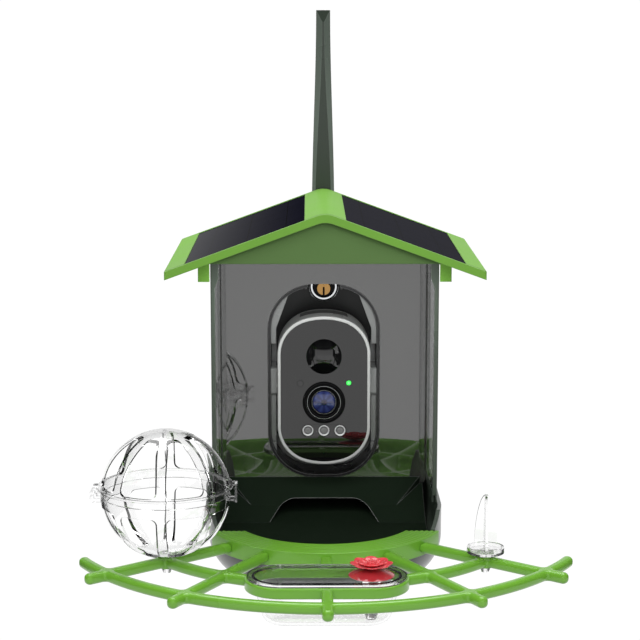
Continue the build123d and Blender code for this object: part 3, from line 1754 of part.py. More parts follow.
pieces = {
    "tray": tray,
    "seed_insert": seed_insert,
    "side_frame_left": side_frame_left,
    "side_frame_right": side_frame_right,
    "side_window_left": side_window_left,
    "side_window_right": side_window_right,
    "back_wall": back_wall,
    "front_panel": front_panel,
    "camera_bay": camera_bay,
    "camera_cradle": camera_cradle,
    "lock_bezel": lock_bezel,
    "lock_screw": lock_screw,
    "contact_pins": contact_pins,
    "pole_insert": pole_insert,
    "wall_bracket": wall_bracket,
    "bracket_screws": bracket_screws,
    "frame_screws": frame_screws,
    "apron_screws": apron_screws,
    "apron": apron,
    "perch_web": perch_web,
    "roof_shell": roof_shell,
    "solar_panel_left": solar_panel_left,
    "solar_panel_right": solar_panel_right,
    "roof_liner": roof_liner,
    "roof_seal": roof_seal,
    "solar_wires": solar_wires,
    "contact_pads": contact_pads,
    "roof_screws": roof_screws,
    "camera_shell": camera_shell,
    "camera_back": camera_back,
    "face_plate": face_plate,
    "pir_dome": pir_dome,
    "lens_barrel": lens_barrel,
    "lens_glass": lens_glass,
    "led_plate": led_plate,
    "ir_leds": ir_leds,
    "status_led": status_led,
    "light_sensor": light_sensor,
    "circuit_board": circuit_board,
    "battery_cells": battery_cells,
    "speaker": speaker,
    "camera_seal": camera_seal,
    "port_cover": port_cover,
    "tilt_pins": tilt_pins,
    "power_button": power_button,
    "antenna_base": antenna_base,
    "antenna_knuckle": antenna_knuckle,
    "antenna_blade": antenna_blade,
    "antenna_pin": antenna_pin,
    "water_cup": water_cup,
    "flower": flower,
    "flower_base": flower_base,
    "flower_stem": flower_stem,
    "ball_lower": ball_lower,
    "ball_upper": ball_upper,
    "ball_hinge_pin": ball_hinge_pin,
    "ball_clasp": ball_clasp,
    "fruit_spike": fruit_spike,
}
for name, piece in pieces.items():
    piece.part.label = name
    export_step(piece.part, f"parts/{name}.step")
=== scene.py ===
"""Looks of a camera bird feeder, laid out as a Blender add-on and run as a script."""

import math

import bmesh
import bpy
from bpy.props import FloatProperty, FloatVectorProperty, IntProperty, PointerProperty
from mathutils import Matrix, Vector


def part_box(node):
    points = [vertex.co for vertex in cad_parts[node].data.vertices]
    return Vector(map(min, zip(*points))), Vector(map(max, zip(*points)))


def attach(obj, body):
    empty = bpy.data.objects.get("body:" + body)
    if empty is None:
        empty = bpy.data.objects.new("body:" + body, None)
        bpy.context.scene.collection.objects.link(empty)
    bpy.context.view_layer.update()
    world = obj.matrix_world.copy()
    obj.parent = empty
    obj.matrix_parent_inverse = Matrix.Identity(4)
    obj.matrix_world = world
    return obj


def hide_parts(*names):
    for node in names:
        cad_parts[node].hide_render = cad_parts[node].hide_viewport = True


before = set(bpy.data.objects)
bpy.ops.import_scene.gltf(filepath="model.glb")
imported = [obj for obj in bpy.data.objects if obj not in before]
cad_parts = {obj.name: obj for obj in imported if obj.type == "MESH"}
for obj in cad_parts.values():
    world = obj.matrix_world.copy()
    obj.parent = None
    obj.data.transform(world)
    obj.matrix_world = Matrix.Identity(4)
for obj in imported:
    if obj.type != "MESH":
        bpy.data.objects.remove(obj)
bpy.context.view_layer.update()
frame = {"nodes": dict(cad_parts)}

bl_info = {
    "name": "Camera Bird Feeder",
    "version": (1, 0, 0),
    "blender": (4, 5, 0),
    "location": "View3D > Sidebar > Feeder",
    "description": "Finishes, clear parts and fine detail of a camera bird feeder",
    "category": "Object",
}

FULL_TURN = 2 * math.pi
UP = (0, 0, 1)
FORWARD = (0, -1, 0)

# Moulded surfaces: patches of tone per metre, and how far noise pushes tone and polish
PATCH_SCALE = 22
PATCH_DETAIL = 3
GRAIN_DETAIL = 2
TONE_GAIN = 4.0
POLISH_GAIN = 3.0
PLASTIC_RELIEF = 0.0002
METAL_RELIEF = 0.0001

# Edge mask for a painted highlight: rays of the bevel probe, and the gain from a bent normal to a
# full mask
EDGE_SAMPLES = 6
EDGE_GAIN = 4.0
# Colour screened over edges as a painted highlight
EDGE_HIGHLIGHT_TINT = (0.30, 0.30, 0.30, 1)

# Edge rounding of CAD nodes, and the crease above which a mesh edge stays sharp
ROUNDING_CREASE = math.radians(35)
SHARP_CREASE = math.radians(40)

# Roof: the sunk gable lies in a plane of its own; painted shade darkens it in place of the shade of
# the eaves
GABLE_PLANE = -0.070
GABLE_DEPTH = 0.001
GABLE_PAINTED_SHADE = (0.62, 0.5, 1.1, 1)

# Mirror lean of polished sheets: bottom and top height, then rows of share of the height and
# lean of the normal
PANEL_LEAN = (
    0.0345, 0.1345, ((0.03, 0.123), (0.175, 0.075), (0.315, 0.054), (0.575, 0.038), (1.0, 0.026)),
)
FACE_LEAN = (0.05, 0.15, ((0.12, 0.024), (0.22, 0.041), (0.4, 0.033), (0.7, 0.026)))
PANEL_OPACITY = 0.72

# Painted light: facets whose normal turns this far sideways are fully lightened
FACET_START = 0.3
FACET_FULL = 0.75

# Clear plastic, with painted shade where it is seen edge on
CLEAR_INDEX = 1.55
RIM_POWER = 6.0
EDGE_ON_PAINTED_SHADE = (0.06, 0.07, 0.065, 1)

# Lock: painted reflection bands over the radius of the ring, and painted shade in the coin slot of
# the screw
RING_REFLECTION_BANDS = ((0.0, 0.01), (0.735, 1.0), (0.835, 0.01), (0.94, 0.45), (0.985, 0.02))
SLOT_HALF = 0.0007
SLOT_TOP = 0.001
SLOT_PAINTED_SHADE = (0.012, 0.008, 0.005, 1)

# Lens: blades round the middle
LENS_BLADES = 8
LENS_WEAR = 0.6

# Solar panels: half widths of the lines as shares of their pitch, cell height over cell width
CELL_GAP = 0.012
ROW_GAP = 0.008
ROW_STRETCH = 1.65
FINGERS_PER_CELL = 9
FINGER_WIDTH = 0.06
FINGER_STRENGTH = 0.35
FINGER_GAIN = 2.2
FINGER_LIFT = 0.004
GAP_BLACK = (0.002, 0.002, 0.003, 1)
HAZE_REACH = -10.0
HAZE_STRENGTH = 0.2
RIGHT_GLOSS = 0.05

# Infrared lights: their pitch, and the profile of a cup as (radius, height)
LIGHT_PITCH = 0.0116
LIGHT_CUP = (
    (0.0029, -0.0012), (0.0034, 0.0001), (0.0038, 0.0001), (0.00395, -0.0003), (0.0037, -0.0014),
)

# Rings in the lens barrel: radius, height and half width, with the depth and share of the chamfer
LENS_RINGS = ((0.0120, -0.0010, 0.00018), (0.0087, -0.0026, 0.00008))
RING_DEPTH = 0.0006
RING_CHAMFER = 0.6

# Flower: reach, half width, start height, rise and curl of the petals in each ring
PETAL_RINGS = ((0.0134, 0.0050, 0.0002, 0.0036, 0.0013), (0.0086, 0.0036, 0.0010, 0.0034, 0.0012))
PETAL_ROWS = 12
PETAL_COLUMNS = 8
PETAL_THICKNESS = 0.0007

# Outline of a petal: width at its root, half turns of swelling, and bluntness of its tip;
# then how late it rises and how early it curls
PETAL_ROOT = 0.4
PETAL_SWELL = 0.62
PETAL_BLUNTNESS = 5
PETAL_RISE = 1.6
PETAL_CURL = 0.8

# Middle of the flower: bud and beads as (radius, height), and the painted shade that darkens the
# base below
BUD = (
    (0, 0), (0.0030, 0), (0.0034, 0.0012), (0.0030, 0.0022), (0.0019, 0.0029), (0.0011, 0.0031),
    (0, 0.0031),
)
BUD_HEIGHT = 0.0016
BEAD = ((0, -0.0006), (0.0007, 0), (0.0005, 0.0006), (0, 0.0008))
BEAD_RING = 0.0026
BEAD_HEIGHT = 0.0042
BASE_PAINTED_SHADE = 0.7

# Stage: floor, studio bands by the height of a direction from 0, down, to 1, up, and dark flags
# at the sides
FLOOR_SIZE = 60
FLOOR_DROP = 0.0002
FLOOR_GLOW = 0.45
FLOOR_SEEN_GLOW = 0.58
FLAG_START = 0.15
FLAG_SLOPE = 0.8
FLAG_DEPTH = 0.95
STUDIO_BANDS = ((0.5, 0.9), (0.68, 0.8), (0.74, 0.04), (0.92, 0.03), (0.97, 0.6), (1.0, 0.9))
STUDIO_AMBIENT = (0.32, 0.32, 0.33, 1)
SIDE_FLAG = (0.04, 0.04, 0.04, 1)
SIDE_FLAG_EDGE = 0.66
CLEAR_FLAG_SHIFT = -0.36
BACKDROP = (1.03, 1.03, 1.03, 1)

# Lights: name, place, aim, width, height and power in watts
SUBJECT = (0, -0.05, 0.15)
LIGHTS = (
    ("key_light", (-0.9, -1.1, 1.5), SUBJECT, 1.0, 1.0, 10),
    ("fill_light", (1.3, -0.8, 0.8), SUBJECT, 0.9, 1.2, 4),
    ("top_light", (0.0, 0.5, 1.6), SUBJECT, 1.4, 1.0, 22),
    ("front_light", (0.1, -1.55, 0.9), SUBJECT, 0.8, 0.8, 10),
    ("porch_light", (0, -0.055, 0.192), (0, 0.06, 0.12), 0.13, 0.03, 0.09),
)

# Camera, fitted to the photograph: focal length and frame in pixels, sensor in millimetres,
# angles in degrees
FOCAL_PIXELS = 1820.2
FRAME_PIXELS = 640
SENSOR_WIDTH = 36
CAMERA_PLACE = (-0.0114, -1.257, 0.3787)
CAMERA_PITCH = 9.634
CAMERA_YAW = -0.38


def tone(red, green, blue):
    """A colour picked from a screen, 0 to 255, as the linear values that shaders use."""
    values = []
    for value in (red, green, blue):
        share = value / 255
        values.append(share / 12.92 if share <= 0.04045 else ((share + 0.055) / 1.055) ** 2.4)
    return tuple(values)


def colour(name, about, default):
    """A colour that the sidebar shows."""
    return FloatVectorProperty(
        name=name, description=about, default=default, subtype="COLOR", size=3, min=0, max=1
    )


class FEEDER_PG_colours(bpy.types.PropertyGroup):
    """Colours of the feeder's finishes."""

    roof: colour("Roof", "Green of the moulded roof", tone(118, 170, 70))
    perch: colour("Perch", "Green of the perch web and the tray's rim", tone(112, 174, 50))
    hull: colour("Tray", "Dark green-grey of the tray's outer hull", tone(62, 70, 62))
    seed_bed: colour("Seed floor", "Near-black green of the seed floor and ramp", tone(26, 36, 26))
    frame: colour("Side frames", "Dark green-grey of the side frames", tone(62, 72, 62))
    panel: colour("Front panel", "Smoked panel in front of the hopper", tone(44, 45, 43))
    casing: colour("Camera casing", "Grey of the camera's casing and pale rim", tone(190, 192, 190))
    face: colour("Camera face", "Near-black of the camera's face plate", tone(16, 16, 16))
    solar: colour("Solar cells", "Blue-black of the solar panels", tone(14, 14, 24))
    petals: colour("Flower", "Red of the flower in the drinking cup", tone(224, 66, 74))
    brass: colour("Brass", "Lock, contacts and threaded parts", tone(178, 138, 84))


class FEEDER_PG_sizes(bpy.types.PropertyGroup):
    """Sizes of the fine detail."""

    edge: FloatProperty(
        name="Edge rounding", description="Rounding of moulded edges", default=0.0004,
        min=0.0001, max=0.002, unit="LENGTH", precision=5,
    )
    petals: IntProperty(
        name="Petals", description="Petals in each ring of the flower", default=8, min=4, max=14
    )
    cell: FloatProperty(
        name="Cell pitch", description="Width of one solar cell", default=0.026,
        min=0.01, max=0.08, unit="LENGTH", precision=4,
    )


# Shader helpers


def math_node(tree, operation, first, second=None, third=None):
    """A Math node; a number goes on its socket and a socket is linked."""
    node = tree.nodes.new("ShaderNodeMath")
    node.operation = operation
    for index, value in enumerate((first, second, third)):
        if isinstance(value, (int, float)):
            node.inputs[index].default_value = value
        elif value is not None:
            tree.links.new(value, node.inputs[index])
    return node.outputs[0]


def blend(tree, share, first, second, mode="MIX"):
    """Mixes two colours; the share and each colour may be a socket or a value."""
    node = tree.nodes.new("ShaderNodeMix")
    node.data_type, node.blend_type = "RGBA", mode
    for index, value in ((0, share), (6, first), (7, second)):
        if isinstance(value, bpy.types.NodeSocket):
            tree.links.new(value, node.inputs[index])
        else:
            node.inputs[index].default_value = value
    return node.outputs[2]


def ramp(tree, value, stops, interpolation="LINEAR"):
    """A colour ramp through (place, colour) stops; a single number stands for a grey."""
    node = tree.nodes.new("ShaderNodeValToRGB")
    node.color_ramp.interpolation = interpolation
    marks = node.color_ramp.elements
    marks.remove(marks[0])
    for index, (place, shade) in enumerate(stops):
        mark = marks.new(place) if index else marks[0]
        mark.position = place
        mark.color = (*shade, 1) if isinstance(shade, tuple) else (shade, shade, shade, 1)
    tree.links.new(value, node.inputs["Fac"])
    return node.outputs["Color"]


def axes(tree, vector=None):
    """The X, Y and Z of a vector, by default the surface point in the feeder's own frame."""
    split = tree.nodes.new("ShaderNodeSeparateXYZ")
    if vector is None:
        vector = tree.nodes.new("ShaderNodeTexCoord").outputs["Object"]
    tree.links.new(vector, split.inputs[0])
    return split.outputs


def normal_axes(tree):
    """The X, Y and Z of the surface's normal."""
    return axes(tree, tree.nodes.new("ShaderNodeNewGeometry").outputs["Normal"])


def middle_of(node):
    """The middle of a CAD node's front face, and half its width."""
    low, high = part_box(node)
    return ((low[0] + high[0]) / 2, 0, (low[2] + high[2]) / 2), (high[0] - low[0]) / 2


def radius_from(tree, centre):
    """Distance of a surface point from a line that runs front to back, with its two parts."""
    place = axes(tree)
    across = math_node(tree, "SUBTRACT", place["X"], centre[0])
    up = math_node(tree, "SUBTRACT", place["Z"], centre[2])
    squares = math_node(tree, "MULTIPLY_ADD", up, up, math_node(tree, "MULTIPLY", across, across))
    return math_node(tree, "SQRT", squares), across, up


def group_sockets(name, inputs, outputs):
    """An empty shader group with named inputs and outputs."""
    tree = bpy.data.node_groups.new(name, "ShaderNodeTree")
    for label, kind, default in inputs:
        socket = tree.interface.new_socket(label, in_out="INPUT", socket_type=kind)
        socket.default_value = default
    for label, kind in outputs:
        tree.interface.new_socket(label, in_out="OUTPUT", socket_type=kind)
    return tree, tree.nodes.new("NodeGroupInput"), tree.nodes.new("NodeGroupOutput")


def moulded_group():
    """Moulded plastic: slow tone drift, fine spark-eroded grain and slight polish changes."""
    tree, inside, outside = group_sockets(
        "moulded_skin",
        [
            ("Colour", "NodeSocketColor", (0.5, 0.5, 0.5, 1)),
            ("Drift", "NodeSocketFloat", 0.06),
            ("Roughness", "NodeSocketFloat", 0.4),
            ("Spread", "NodeSocketFloat", 0.08),
            ("Grain", "NodeSocketFloat", 1800.0),
        ],
        [
            ("Colour", "NodeSocketColor"),
            ("Roughness", "NodeSocketFloat"),
            ("Height", "NodeSocketFloat"),
        ],
    )
    links = tree.links
    place = tree.nodes.new("ShaderNodeTexCoord").outputs["Object"]
    drift = tree.nodes.new("ShaderNodeTexNoise")
    drift.inputs["Scale"].default_value = PATCH_SCALE
    drift.inputs["Detail"].default_value = PATCH_DETAIL
    links.new(place, drift.inputs["Vector"])
    grain = tree.nodes.new("ShaderNodeTexNoise")
    grain.inputs["Detail"].default_value = GRAIN_DETAIL
    links.new(place, grain.inputs["Vector"])
    links.new(inside.outputs["Grain"], grain.inputs["Scale"])
    centred = math_node(tree, "SUBTRACT", drift.outputs["Fac"], 0.5)
    change = math_node(tree, "MULTIPLY", centred, inside.outputs["Drift"])
    shade = tree.nodes.new("ShaderNodeHueSaturation")
    links.new(inside.outputs["Colour"], shade.inputs["Color"])
    links.new(math_node(tree, "MULTIPLY_ADD", change, TONE_GAIN, 1.0), shade.inputs["Value"])
    links.new(shade.outputs["Color"], outside.inputs["Colour"])
    polish = math_node(tree, "MULTIPLY", centred, inside.outputs["Spread"])
    rough = math_node(tree, "MULTIPLY_ADD", polish, POLISH_GAIN, inside.outputs["Roughness"])
    links.new(rough, outside.inputs["Roughness"])
    links.new(grain.outputs["Fac"], outside.inputs["Height"])


def edge_highlight_group():
    """A mask of outer edges, for a painted highlight where light catches a moulding."""
    tree, inside, outside = group_sockets(
        "painted_edge_highlight",
        [("Width", "NodeSocketFloat", 0.0008), ("Strength", "NodeSocketFloat", 0.6)],
        [("Mask", "NodeSocketFloat"), ("Normal", "NodeSocketVector")],
    )
    links = tree.links
    bevel = tree.nodes.new("ShaderNodeBevel")
    bevel.samples = EDGE_SAMPLES
    links.new(inside.outputs["Width"], bevel.inputs["Radius"])
    match = tree.nodes.new("ShaderNodeVectorMath")
    match.operation = "DOT_PRODUCT"
    links.new(bevel.outputs["Normal"], match.inputs[0])
    links.new(tree.nodes.new("ShaderNodeNewGeometry").outputs["Normal"], match.inputs[1])
    bent = math_node(tree, "SUBTRACT", 1.0, match.outputs["Value"])
    caught = math_node(tree, "MULTIPLY", bent, EDGE_GAIN)
    mask = math_node(tree, "MULTIPLY", caught, inside.outputs["Strength"])
    links.new(math_node(tree, "MINIMUM", mask, 1.0), outside.inputs["Mask"])
    links.new(bevel.outputs["Normal"], outside.inputs["Normal"])


def place_group(tree, name, **values):
    """A named shader group in a material, with its own input values."""
    node = tree.nodes.new("ShaderNodeGroup")
    node.node_tree = bpy.data.node_groups[name]
    for label, value in values.items():
        node.inputs[label].default_value = value
    return node


# Materials. Their names start with look_, because the frame brings materials of its own.


def new_material(name):
    """A material with only its Principled shader and output."""
    made = bpy.data.materials.new("look_" + name)
    made.use_nodes = True
    return made, made.node_tree, made.node_tree.nodes["Principled BSDF"]


def finish_of(name):
    """A material that an earlier step made."""
    return bpy.data.materials["look_" + name]


def shader_of(made):
    """The shader tree and the Principled shader of a material."""
    return made.node_tree, made.node_tree.nodes["Principled BSDF"]


def recolour(made, share, second, mode="MIX"):
    """Mixes a second colour over what feeds a material's base colour."""
    tree, shader = shader_of(made)
    first = shader.inputs["Base Color"].links[0].from_socket
    tree.links.new(blend(tree, share, first, second, mode), shader.inputs["Base Color"])


def moulded(
    name, base, roughness=0.4, spread=0.08, drift=0.05, bump=0.04, grain=1800.0,
    edge=0.35, edge_width=0.0008, coat=0.0, coat_roughness=0.08, coat_ior=1.5, specular=0.5,
):
    """Moulded plastic in one colour, with grain, drift and a painted highlight on its edges."""
    made, tree, shader = new_material(name)
    skin = place_group(
        tree, "moulded_skin",
        Colour=(*base, 1), Drift=drift, Roughness=roughness, Spread=spread, Grain=grain,
    )
    # The edge mask screens a painted highlight over the colour along edges, as strong as edge
    edges = place_group(tree, "painted_edge_highlight", Width=edge_width, Strength=edge)
    edge_highlighted = blend(tree, edges.outputs["Mask"], skin.outputs["Colour"], EDGE_HIGHLIGHT_TINT, "SCREEN")
    tree.links.new(edge_highlighted, shader.inputs["Base Color"])
    tree.links.new(skin.outputs["Roughness"], shader.inputs["Roughness"])
    relief = tree.nodes.new("ShaderNodeBump")
    relief.inputs["Strength"].default_value = bump
    relief.inputs["Distance"].default_value = PLASTIC_RELIEF
    tree.links.new(skin.outputs["Height"], relief.inputs["Height"])
    tree.links.new(edges.outputs["Normal"], relief.inputs["Normal"])
    tree.links.new(relief.outputs["Normal"], shader.inputs["Normal"])
    shader.inputs["Coat Weight"].default_value = coat
    shader.inputs["Coat Roughness"].default_value = coat_roughness
    shader.inputs["Coat IOR"].default_value = coat_ior
    shader.inputs["Specular IOR Level"].default_value = specular
    return made


def facet_lit_moulding(name, base, sides):
    """Moulding whose side facets are lighter than its front, as painted light."""
    made = moulded(name, base, roughness=0.3, edge=0.3)
    tree = made.node_tree
    reach = tree.nodes.new("ShaderNodeMapRange")
    reach.interpolation_type = "SMOOTHSTEP"
    reach.inputs["From Min"].default_value = FACET_START
    reach.inputs["From Max"].default_value = FACET_FULL
    tree.links.new(math_node(tree, "ABSOLUTE", normal_axes(tree)["X"]), reach.inputs["Value"])
    recolour(made, reach.outputs["Result"], (*sides, 1))


def metal(name, base, roughness=0.25, spread=0.12, bump=0.03):
    """Bare or plated metal with fine scuffs."""
    made, tree, shader = new_material(name)
    skin = place_group(
        tree, "moulded_skin",
        Colour=(*base, 1), Drift=0.05, Roughness=roughness, Spread=spread, Grain=900.0,
    )
    tree.links.new(skin.outputs["Colour"], shader.inputs["Base Color"])
    tree.links.new(skin.outputs["Roughness"], shader.inputs["Roughness"])
    relief = tree.nodes.new("ShaderNodeBump")
    relief.inputs["Strength"].default_value = bump
    relief.inputs["Distance"].default_value = METAL_RELIEF
    tree.links.new(skin.outputs["Height"], relief.inputs["Height"])
    tree.links.new(relief.outputs["Normal"], shader.inputs["Normal"])
    shader.inputs["Metallic"].default_value = 1.0
    return made


def glass(name):
    """Clear moulded plastic that bends light, with painted shade that darkens it a little where it
    is seen edge on.
    """
    made, tree, shader = new_material(name)
    skin = place_group(
        tree, "moulded_skin", Colour=(1, 1, 1, 1), Drift=0.01, Roughness=0.0, Spread=0.0, Grain=90.0
    )
    facing = tree.nodes.new("ShaderNodeLayerWeight")
    facing.inputs["Blend"].default_value = 0.5
    # Painted shade darkens the colour where the surface is seen edge on
    rim = math_node(tree, "POWER", facing.outputs["Facing"], RIM_POWER)
    tree.links.new(blend(tree, rim, skin.outputs["Colour"], EDGE_ON_PAINTED_SHADE), shader.inputs["Base Color"])
    tree.links.new(skin.outputs["Roughness"], shader.inputs["Roughness"])
    shader.inputs["Transmission Weight"].default_value = 1.0
    shader.inputs["IOR"].default_value = CLEAR_INDEX


def lean_shine(made, low, high, leans):
    """Leans a polished sheet's normal up between two heights, so that its mirror image sinks."""
    tree, shader = shader_of(made)
    share = math_node(tree, "DIVIDE", math_node(tree, "SUBTRACT", axes(tree)["Z"], low), high - low)
    up = tree.nodes.new("ShaderNodeCombineXYZ")
    tree.links.new(ramp(tree, share, leans), up.inputs["Z"])
    add = tree.nodes.new("ShaderNodeVectorMath")
    tree.links.new(tree.nodes.new("ShaderNodeNewGeometry").outputs["Normal"], add.inputs[0])
    tree.links.new(up.outputs[0], add.inputs[1])
    unit = tree.nodes.new("ShaderNodeVectorMath")
    unit.operation = "NORMALIZE"
    tree.links.new(add.outputs[0], unit.inputs[0])
    tree.links.new(unit.outputs[0], shader.inputs["Normal"])
    tree.links.new(unit.outputs[0], shader.inputs["Coat Normal"])


def roof_green(base):
    """Green of the roof, with painted shade darkening the sunk gable."""
    made = moulded("roof_green", base, roughness=0.5, edge=0.2, specular=0.08)
    tree = made.node_tree
    away = math_node(tree, "ABSOLUTE", math_node(tree, "SUBTRACT", axes(tree)["Y"], GABLE_PLANE))
    # Painted shade: the gable plane is multiplied darker
    recolour(made, math_node(tree, "LESS_THAN", away, GABLE_DEPTH), GABLE_PAINTED_SHADE, "MULTIPLY")


def lock_ring():
    """Chrome ring with a painted reflection: bright bands with a black band between them."""
    made = metal("lock_ring", tone(226, 228, 230), roughness=0.1, spread=0.03, bump=0.003)
    tree = made.node_tree
    low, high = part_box("lock_bezel")
    half = (high[0] - low[0]) / 2
    radius = radius_from(tree, ((low[0] + high[0]) / 2, 0, high[2] - half))[0]
    # Painted reflection: bands of light and dark multiplied over the chrome
    bands = ramp(tree, math_node(tree, "DIVIDE", radius, half), RING_REFLECTION_BANDS, "CONSTANT")
    recolour(made, 1.0, bands, "MULTIPLY")


def slotted_brass(base):
    """Brass of the lock, with painted shade in the coin slot below its middle."""
    made = metal("slotted_brass", base, roughness=0.3)
    tree = made.node_tree
    across, up = radius_from(tree, middle_of("lock_screw")[0])[1:]
    near = math_node(tree, "LESS_THAN", math_node(tree, "ABSOLUTE", across), SLOT_HALF)
    below = math_node(tree, "LESS_THAN", up, SLOT_TOP)
    # Painted shade: the coin slot is coloured near-black
    recolour(made, math_node(tree, "MULTIPLY", near, below), SLOT_PAINTED_SHADE)


def lens_coating():
    """Coated lens: deep blue and violet, in soft blades round the middle."""
    made, tree, shader = new_material("lens_glass")
    middle, half = middle_of("lens_glass")
    radius, across, up = radius_from(tree, middle)
    turn = math_node(tree, "ARCTAN2", up, across)
    count = math_node(tree, "MULTIPLY", turn, LENS_BLADES / FULL_TURN)
    blades = math_node(tree, "PINGPONG", count, 0.5)
    skin = place_group(
        tree, "moulded_skin",
        Colour=(0.9, 0.9, 0.9, 1), Drift=0.3, Roughness=0.12, Spread=0.04, Grain=900.0,
    )
    tones = ramp(
        tree, math_node(tree, "MULTIPLY", blades, 2.0),
        ((0.0, tone(36, 42, 84)), (0.45, tone(44, 54, 102)), (1.0, tone(58, 70, 122))),
    )
    depth = ramp(
        tree, math_node(tree, "DIVIDE", radius, half),
        (
            (0.0, tone(90, 50, 74)), (0.2, tone(120, 96, 160)), (0.34, 1.0),
            (0.88, (0.9, 0.9, 1.0)), (1.0, 0.0),
        ),
    )
    both = blend(tree, 1.0, tones, depth, "MULTIPLY")
    worn = blend(tree, LENS_WEAR, both, skin.outputs["Colour"], "MULTIPLY")
    tree.links.new(worn, shader.inputs["Base Color"])
    tree.links.new(skin.outputs["Roughness"], shader.inputs["Roughness"])
    shader.inputs["Coat Weight"].default_value = 1.0
    shader.inputs["Coat Roughness"].default_value = 0.0


def solar_cells(base, pitch):
    """Solar cells under clear resin: dark cells, thin gaps and finer collector lines."""
    tree, shader = new_material("solar_cells")[1:]
    place = axes(tree)

    def line(axis, step, width):
        near = math_node(tree, "PINGPONG", math_node(tree, "DIVIDE", place[axis], step), 0.5)
        return math_node(tree, "LESS_THAN", near, width)

    columns, rows = line("X", pitch, CELL_GAP), line("Y", pitch * ROW_STRETCH, ROW_GAP)
    cells = math_node(tree, "MAXIMUM", columns, rows)
    fingers = line("Y", pitch / FINGERS_PER_CELL, FINGER_WIDTH)
    fingers = math_node(tree, "MULTIPLY", fingers, FINGER_STRENGTH)
    skin = place_group(
        tree, "moulded_skin",
        Colour=(*base, 1), Drift=0.12, Roughness=0.16, Spread=0.05, Grain=700.0,
    )
    lit = (*[value * FINGER_GAIN + FINGER_LIFT for value in base], 1)
    bright = blend(tree, fingers, skin.outputs["Colour"], lit)
    tree.links.new(blend(tree, cells, bright, GAP_BLACK), shader.inputs["Base Color"])
    tree.links.new(skin.outputs["Roughness"], shader.inputs["Roughness"])
    shader.inputs["Specular IOR Level"].default_value = 0.0
    toward_eave = math_node(tree, "MULTIPLY", place["X"], HAZE_REACH)
    toward_eave = math_node(tree, "MAXIMUM", toward_eave, 0.0)
    haze = math_node(tree, "MULTIPLY", math_node(tree, "POWER", toward_eave, 2.0), HAZE_STRENGTH)
    right_half = math_node(tree, "GREATER_THAN", place["X"], 0.0)
    gloss = math_node(tree, "ADD", haze, math_node(tree, "MULTIPLY", right_half, RIGHT_GLOSS))
    tree.links.new(gloss, shader.inputs["Coat Weight"])
    shader.inputs["Coat Roughness"].default_value = 0.12


def status_light():
    """The green status light: brightest in its middle."""
    tree, shader = new_material("status_green")[1:]
    skin = place_group(tree, "moulded_skin", Colour=(0.05, 0.9, 0.12, 1), Drift=0.05, Roughness=0.3)
    tree.links.new(skin.outputs["Colour"], shader.inputs["Base Color"])
    middle, half = middle_of("status_led")
    glow = ramp(
        tree, math_node(tree, "DIVIDE", radius_from(tree, middle)[0], half),
        ((0.0, (0.36, 1.0, 0.36)), (0.55, (0.08, 0.75, 0.1)), (1.0, (0.0, 0.05, 0.0))),
    )
    tree.links.new(glow, shader.inputs["Emission Color"])
    shader.inputs["Emission Strength"].default_value = 1.0


# Pieces


def dress(names, made, edge=0.0):
    """Puts a finish on CAD nodes, and rounds their sharp edges when an edge is given."""
    for name in names:
        node = frame["nodes"][name]
        node.data.materials.clear()
        node.data.materials.append(made)
        for face in node.data.polygons:
            face.material_index = 0
        if edge:
            rounding = node.modifiers.new("edge_rounding", "BEVEL")
            rounding.width = edge
            rounding.segments = 2
            rounding.limit_method = "ANGLE"
            rounding.angle_limit = ROUNDING_CREASE
            rounding.harden_normals = True


def piece(name, net, made, body):
    """Turns finished mesh code into a piece that rides on a body."""
    bmesh.ops.recalc_face_normals(net, faces=net.faces)
    sheet = bpy.data.meshes.new(name)
    net.to_mesh(sheet)
    net.free()
    sheet.shade_smooth()
    sheet.set_sharp_from_angle(angle=SHARP_CREASE)
    sheet.materials.append(made)
    thing = bpy.data.objects.new(name, sheet)
    bpy.context.scene.collection.objects.link(thing)
    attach(thing, body)
    return thing


def turned(net, profile, centre, along, steps):
    """Adds a shape turned from (radius, height) points round an axis through its centre."""
    along = Vector(along).normalized()
    side = along.orthogonal().normalized()
    other = along.cross(side)
    rings = []
    for radius, height in profile:
        middle = Vector(centre) + along * height
        if radius == 0:
            rings.append([net.verts.new(middle)])
            continue
        ring = []
        for step in range(steps):
            turn = FULL_TURN * step / steps
            outward = side * math.cos(turn) + other * math.sin(turn)
            ring.append(net.verts.new(middle + radius * outward))
        rings.append(ring)
    pairs = list(zip(rings, rings[1:]))
    if profile[0][0] and profile[-1][0]:
        pairs.append((rings[-1], rings[0]))
    for low, high in pairs:
        for step in range(steps):
            after = step + 1
            corners = (
                low[step % len(low)], low[after % len(low)],
                high[after % len(high)], high[step % len(high)],
            )
            net.faces.new(list(dict.fromkeys(corners)))


def petal(net, root, turn, reach, half, rise, curl):
    """Adds one cupped petal: broad from the root on, with a blunt tip that lifts."""
    along = Vector((math.cos(turn), math.sin(turn), 0))
    aside = Vector((-math.sin(turn), math.cos(turn), 0))
    grid = []
    for row in range(PETAL_ROWS + 1):
        share = row / PETAL_ROWS
        swell = PETAL_ROOT + (1 - PETAL_ROOT) * math.sin(PETAL_SWELL * math.pi * share)
        width = half * swell * (1 - share**PETAL_BLUNTNESS) ** 0.5
        rolled = curl * math.sin(math.pi * share**PETAL_CURL)
        line = []
        for column in range(PETAL_COLUMNS + 1):
            across = 2 * column / PETAL_COLUMNS - 1
            lift = Vector((0, 0, rise * share**PETAL_RISE + rolled * across * across))
            place = root + along * reach * share + aside * width * across + lift
            line.append(net.verts.new(place))
        grid.append(line)
    for near, far in zip(grid, grid[1:]):
        for column in range(PETAL_COLUMNS):
            net.faces.new((near[column], near[column + 1], far[column + 1], far[column]))


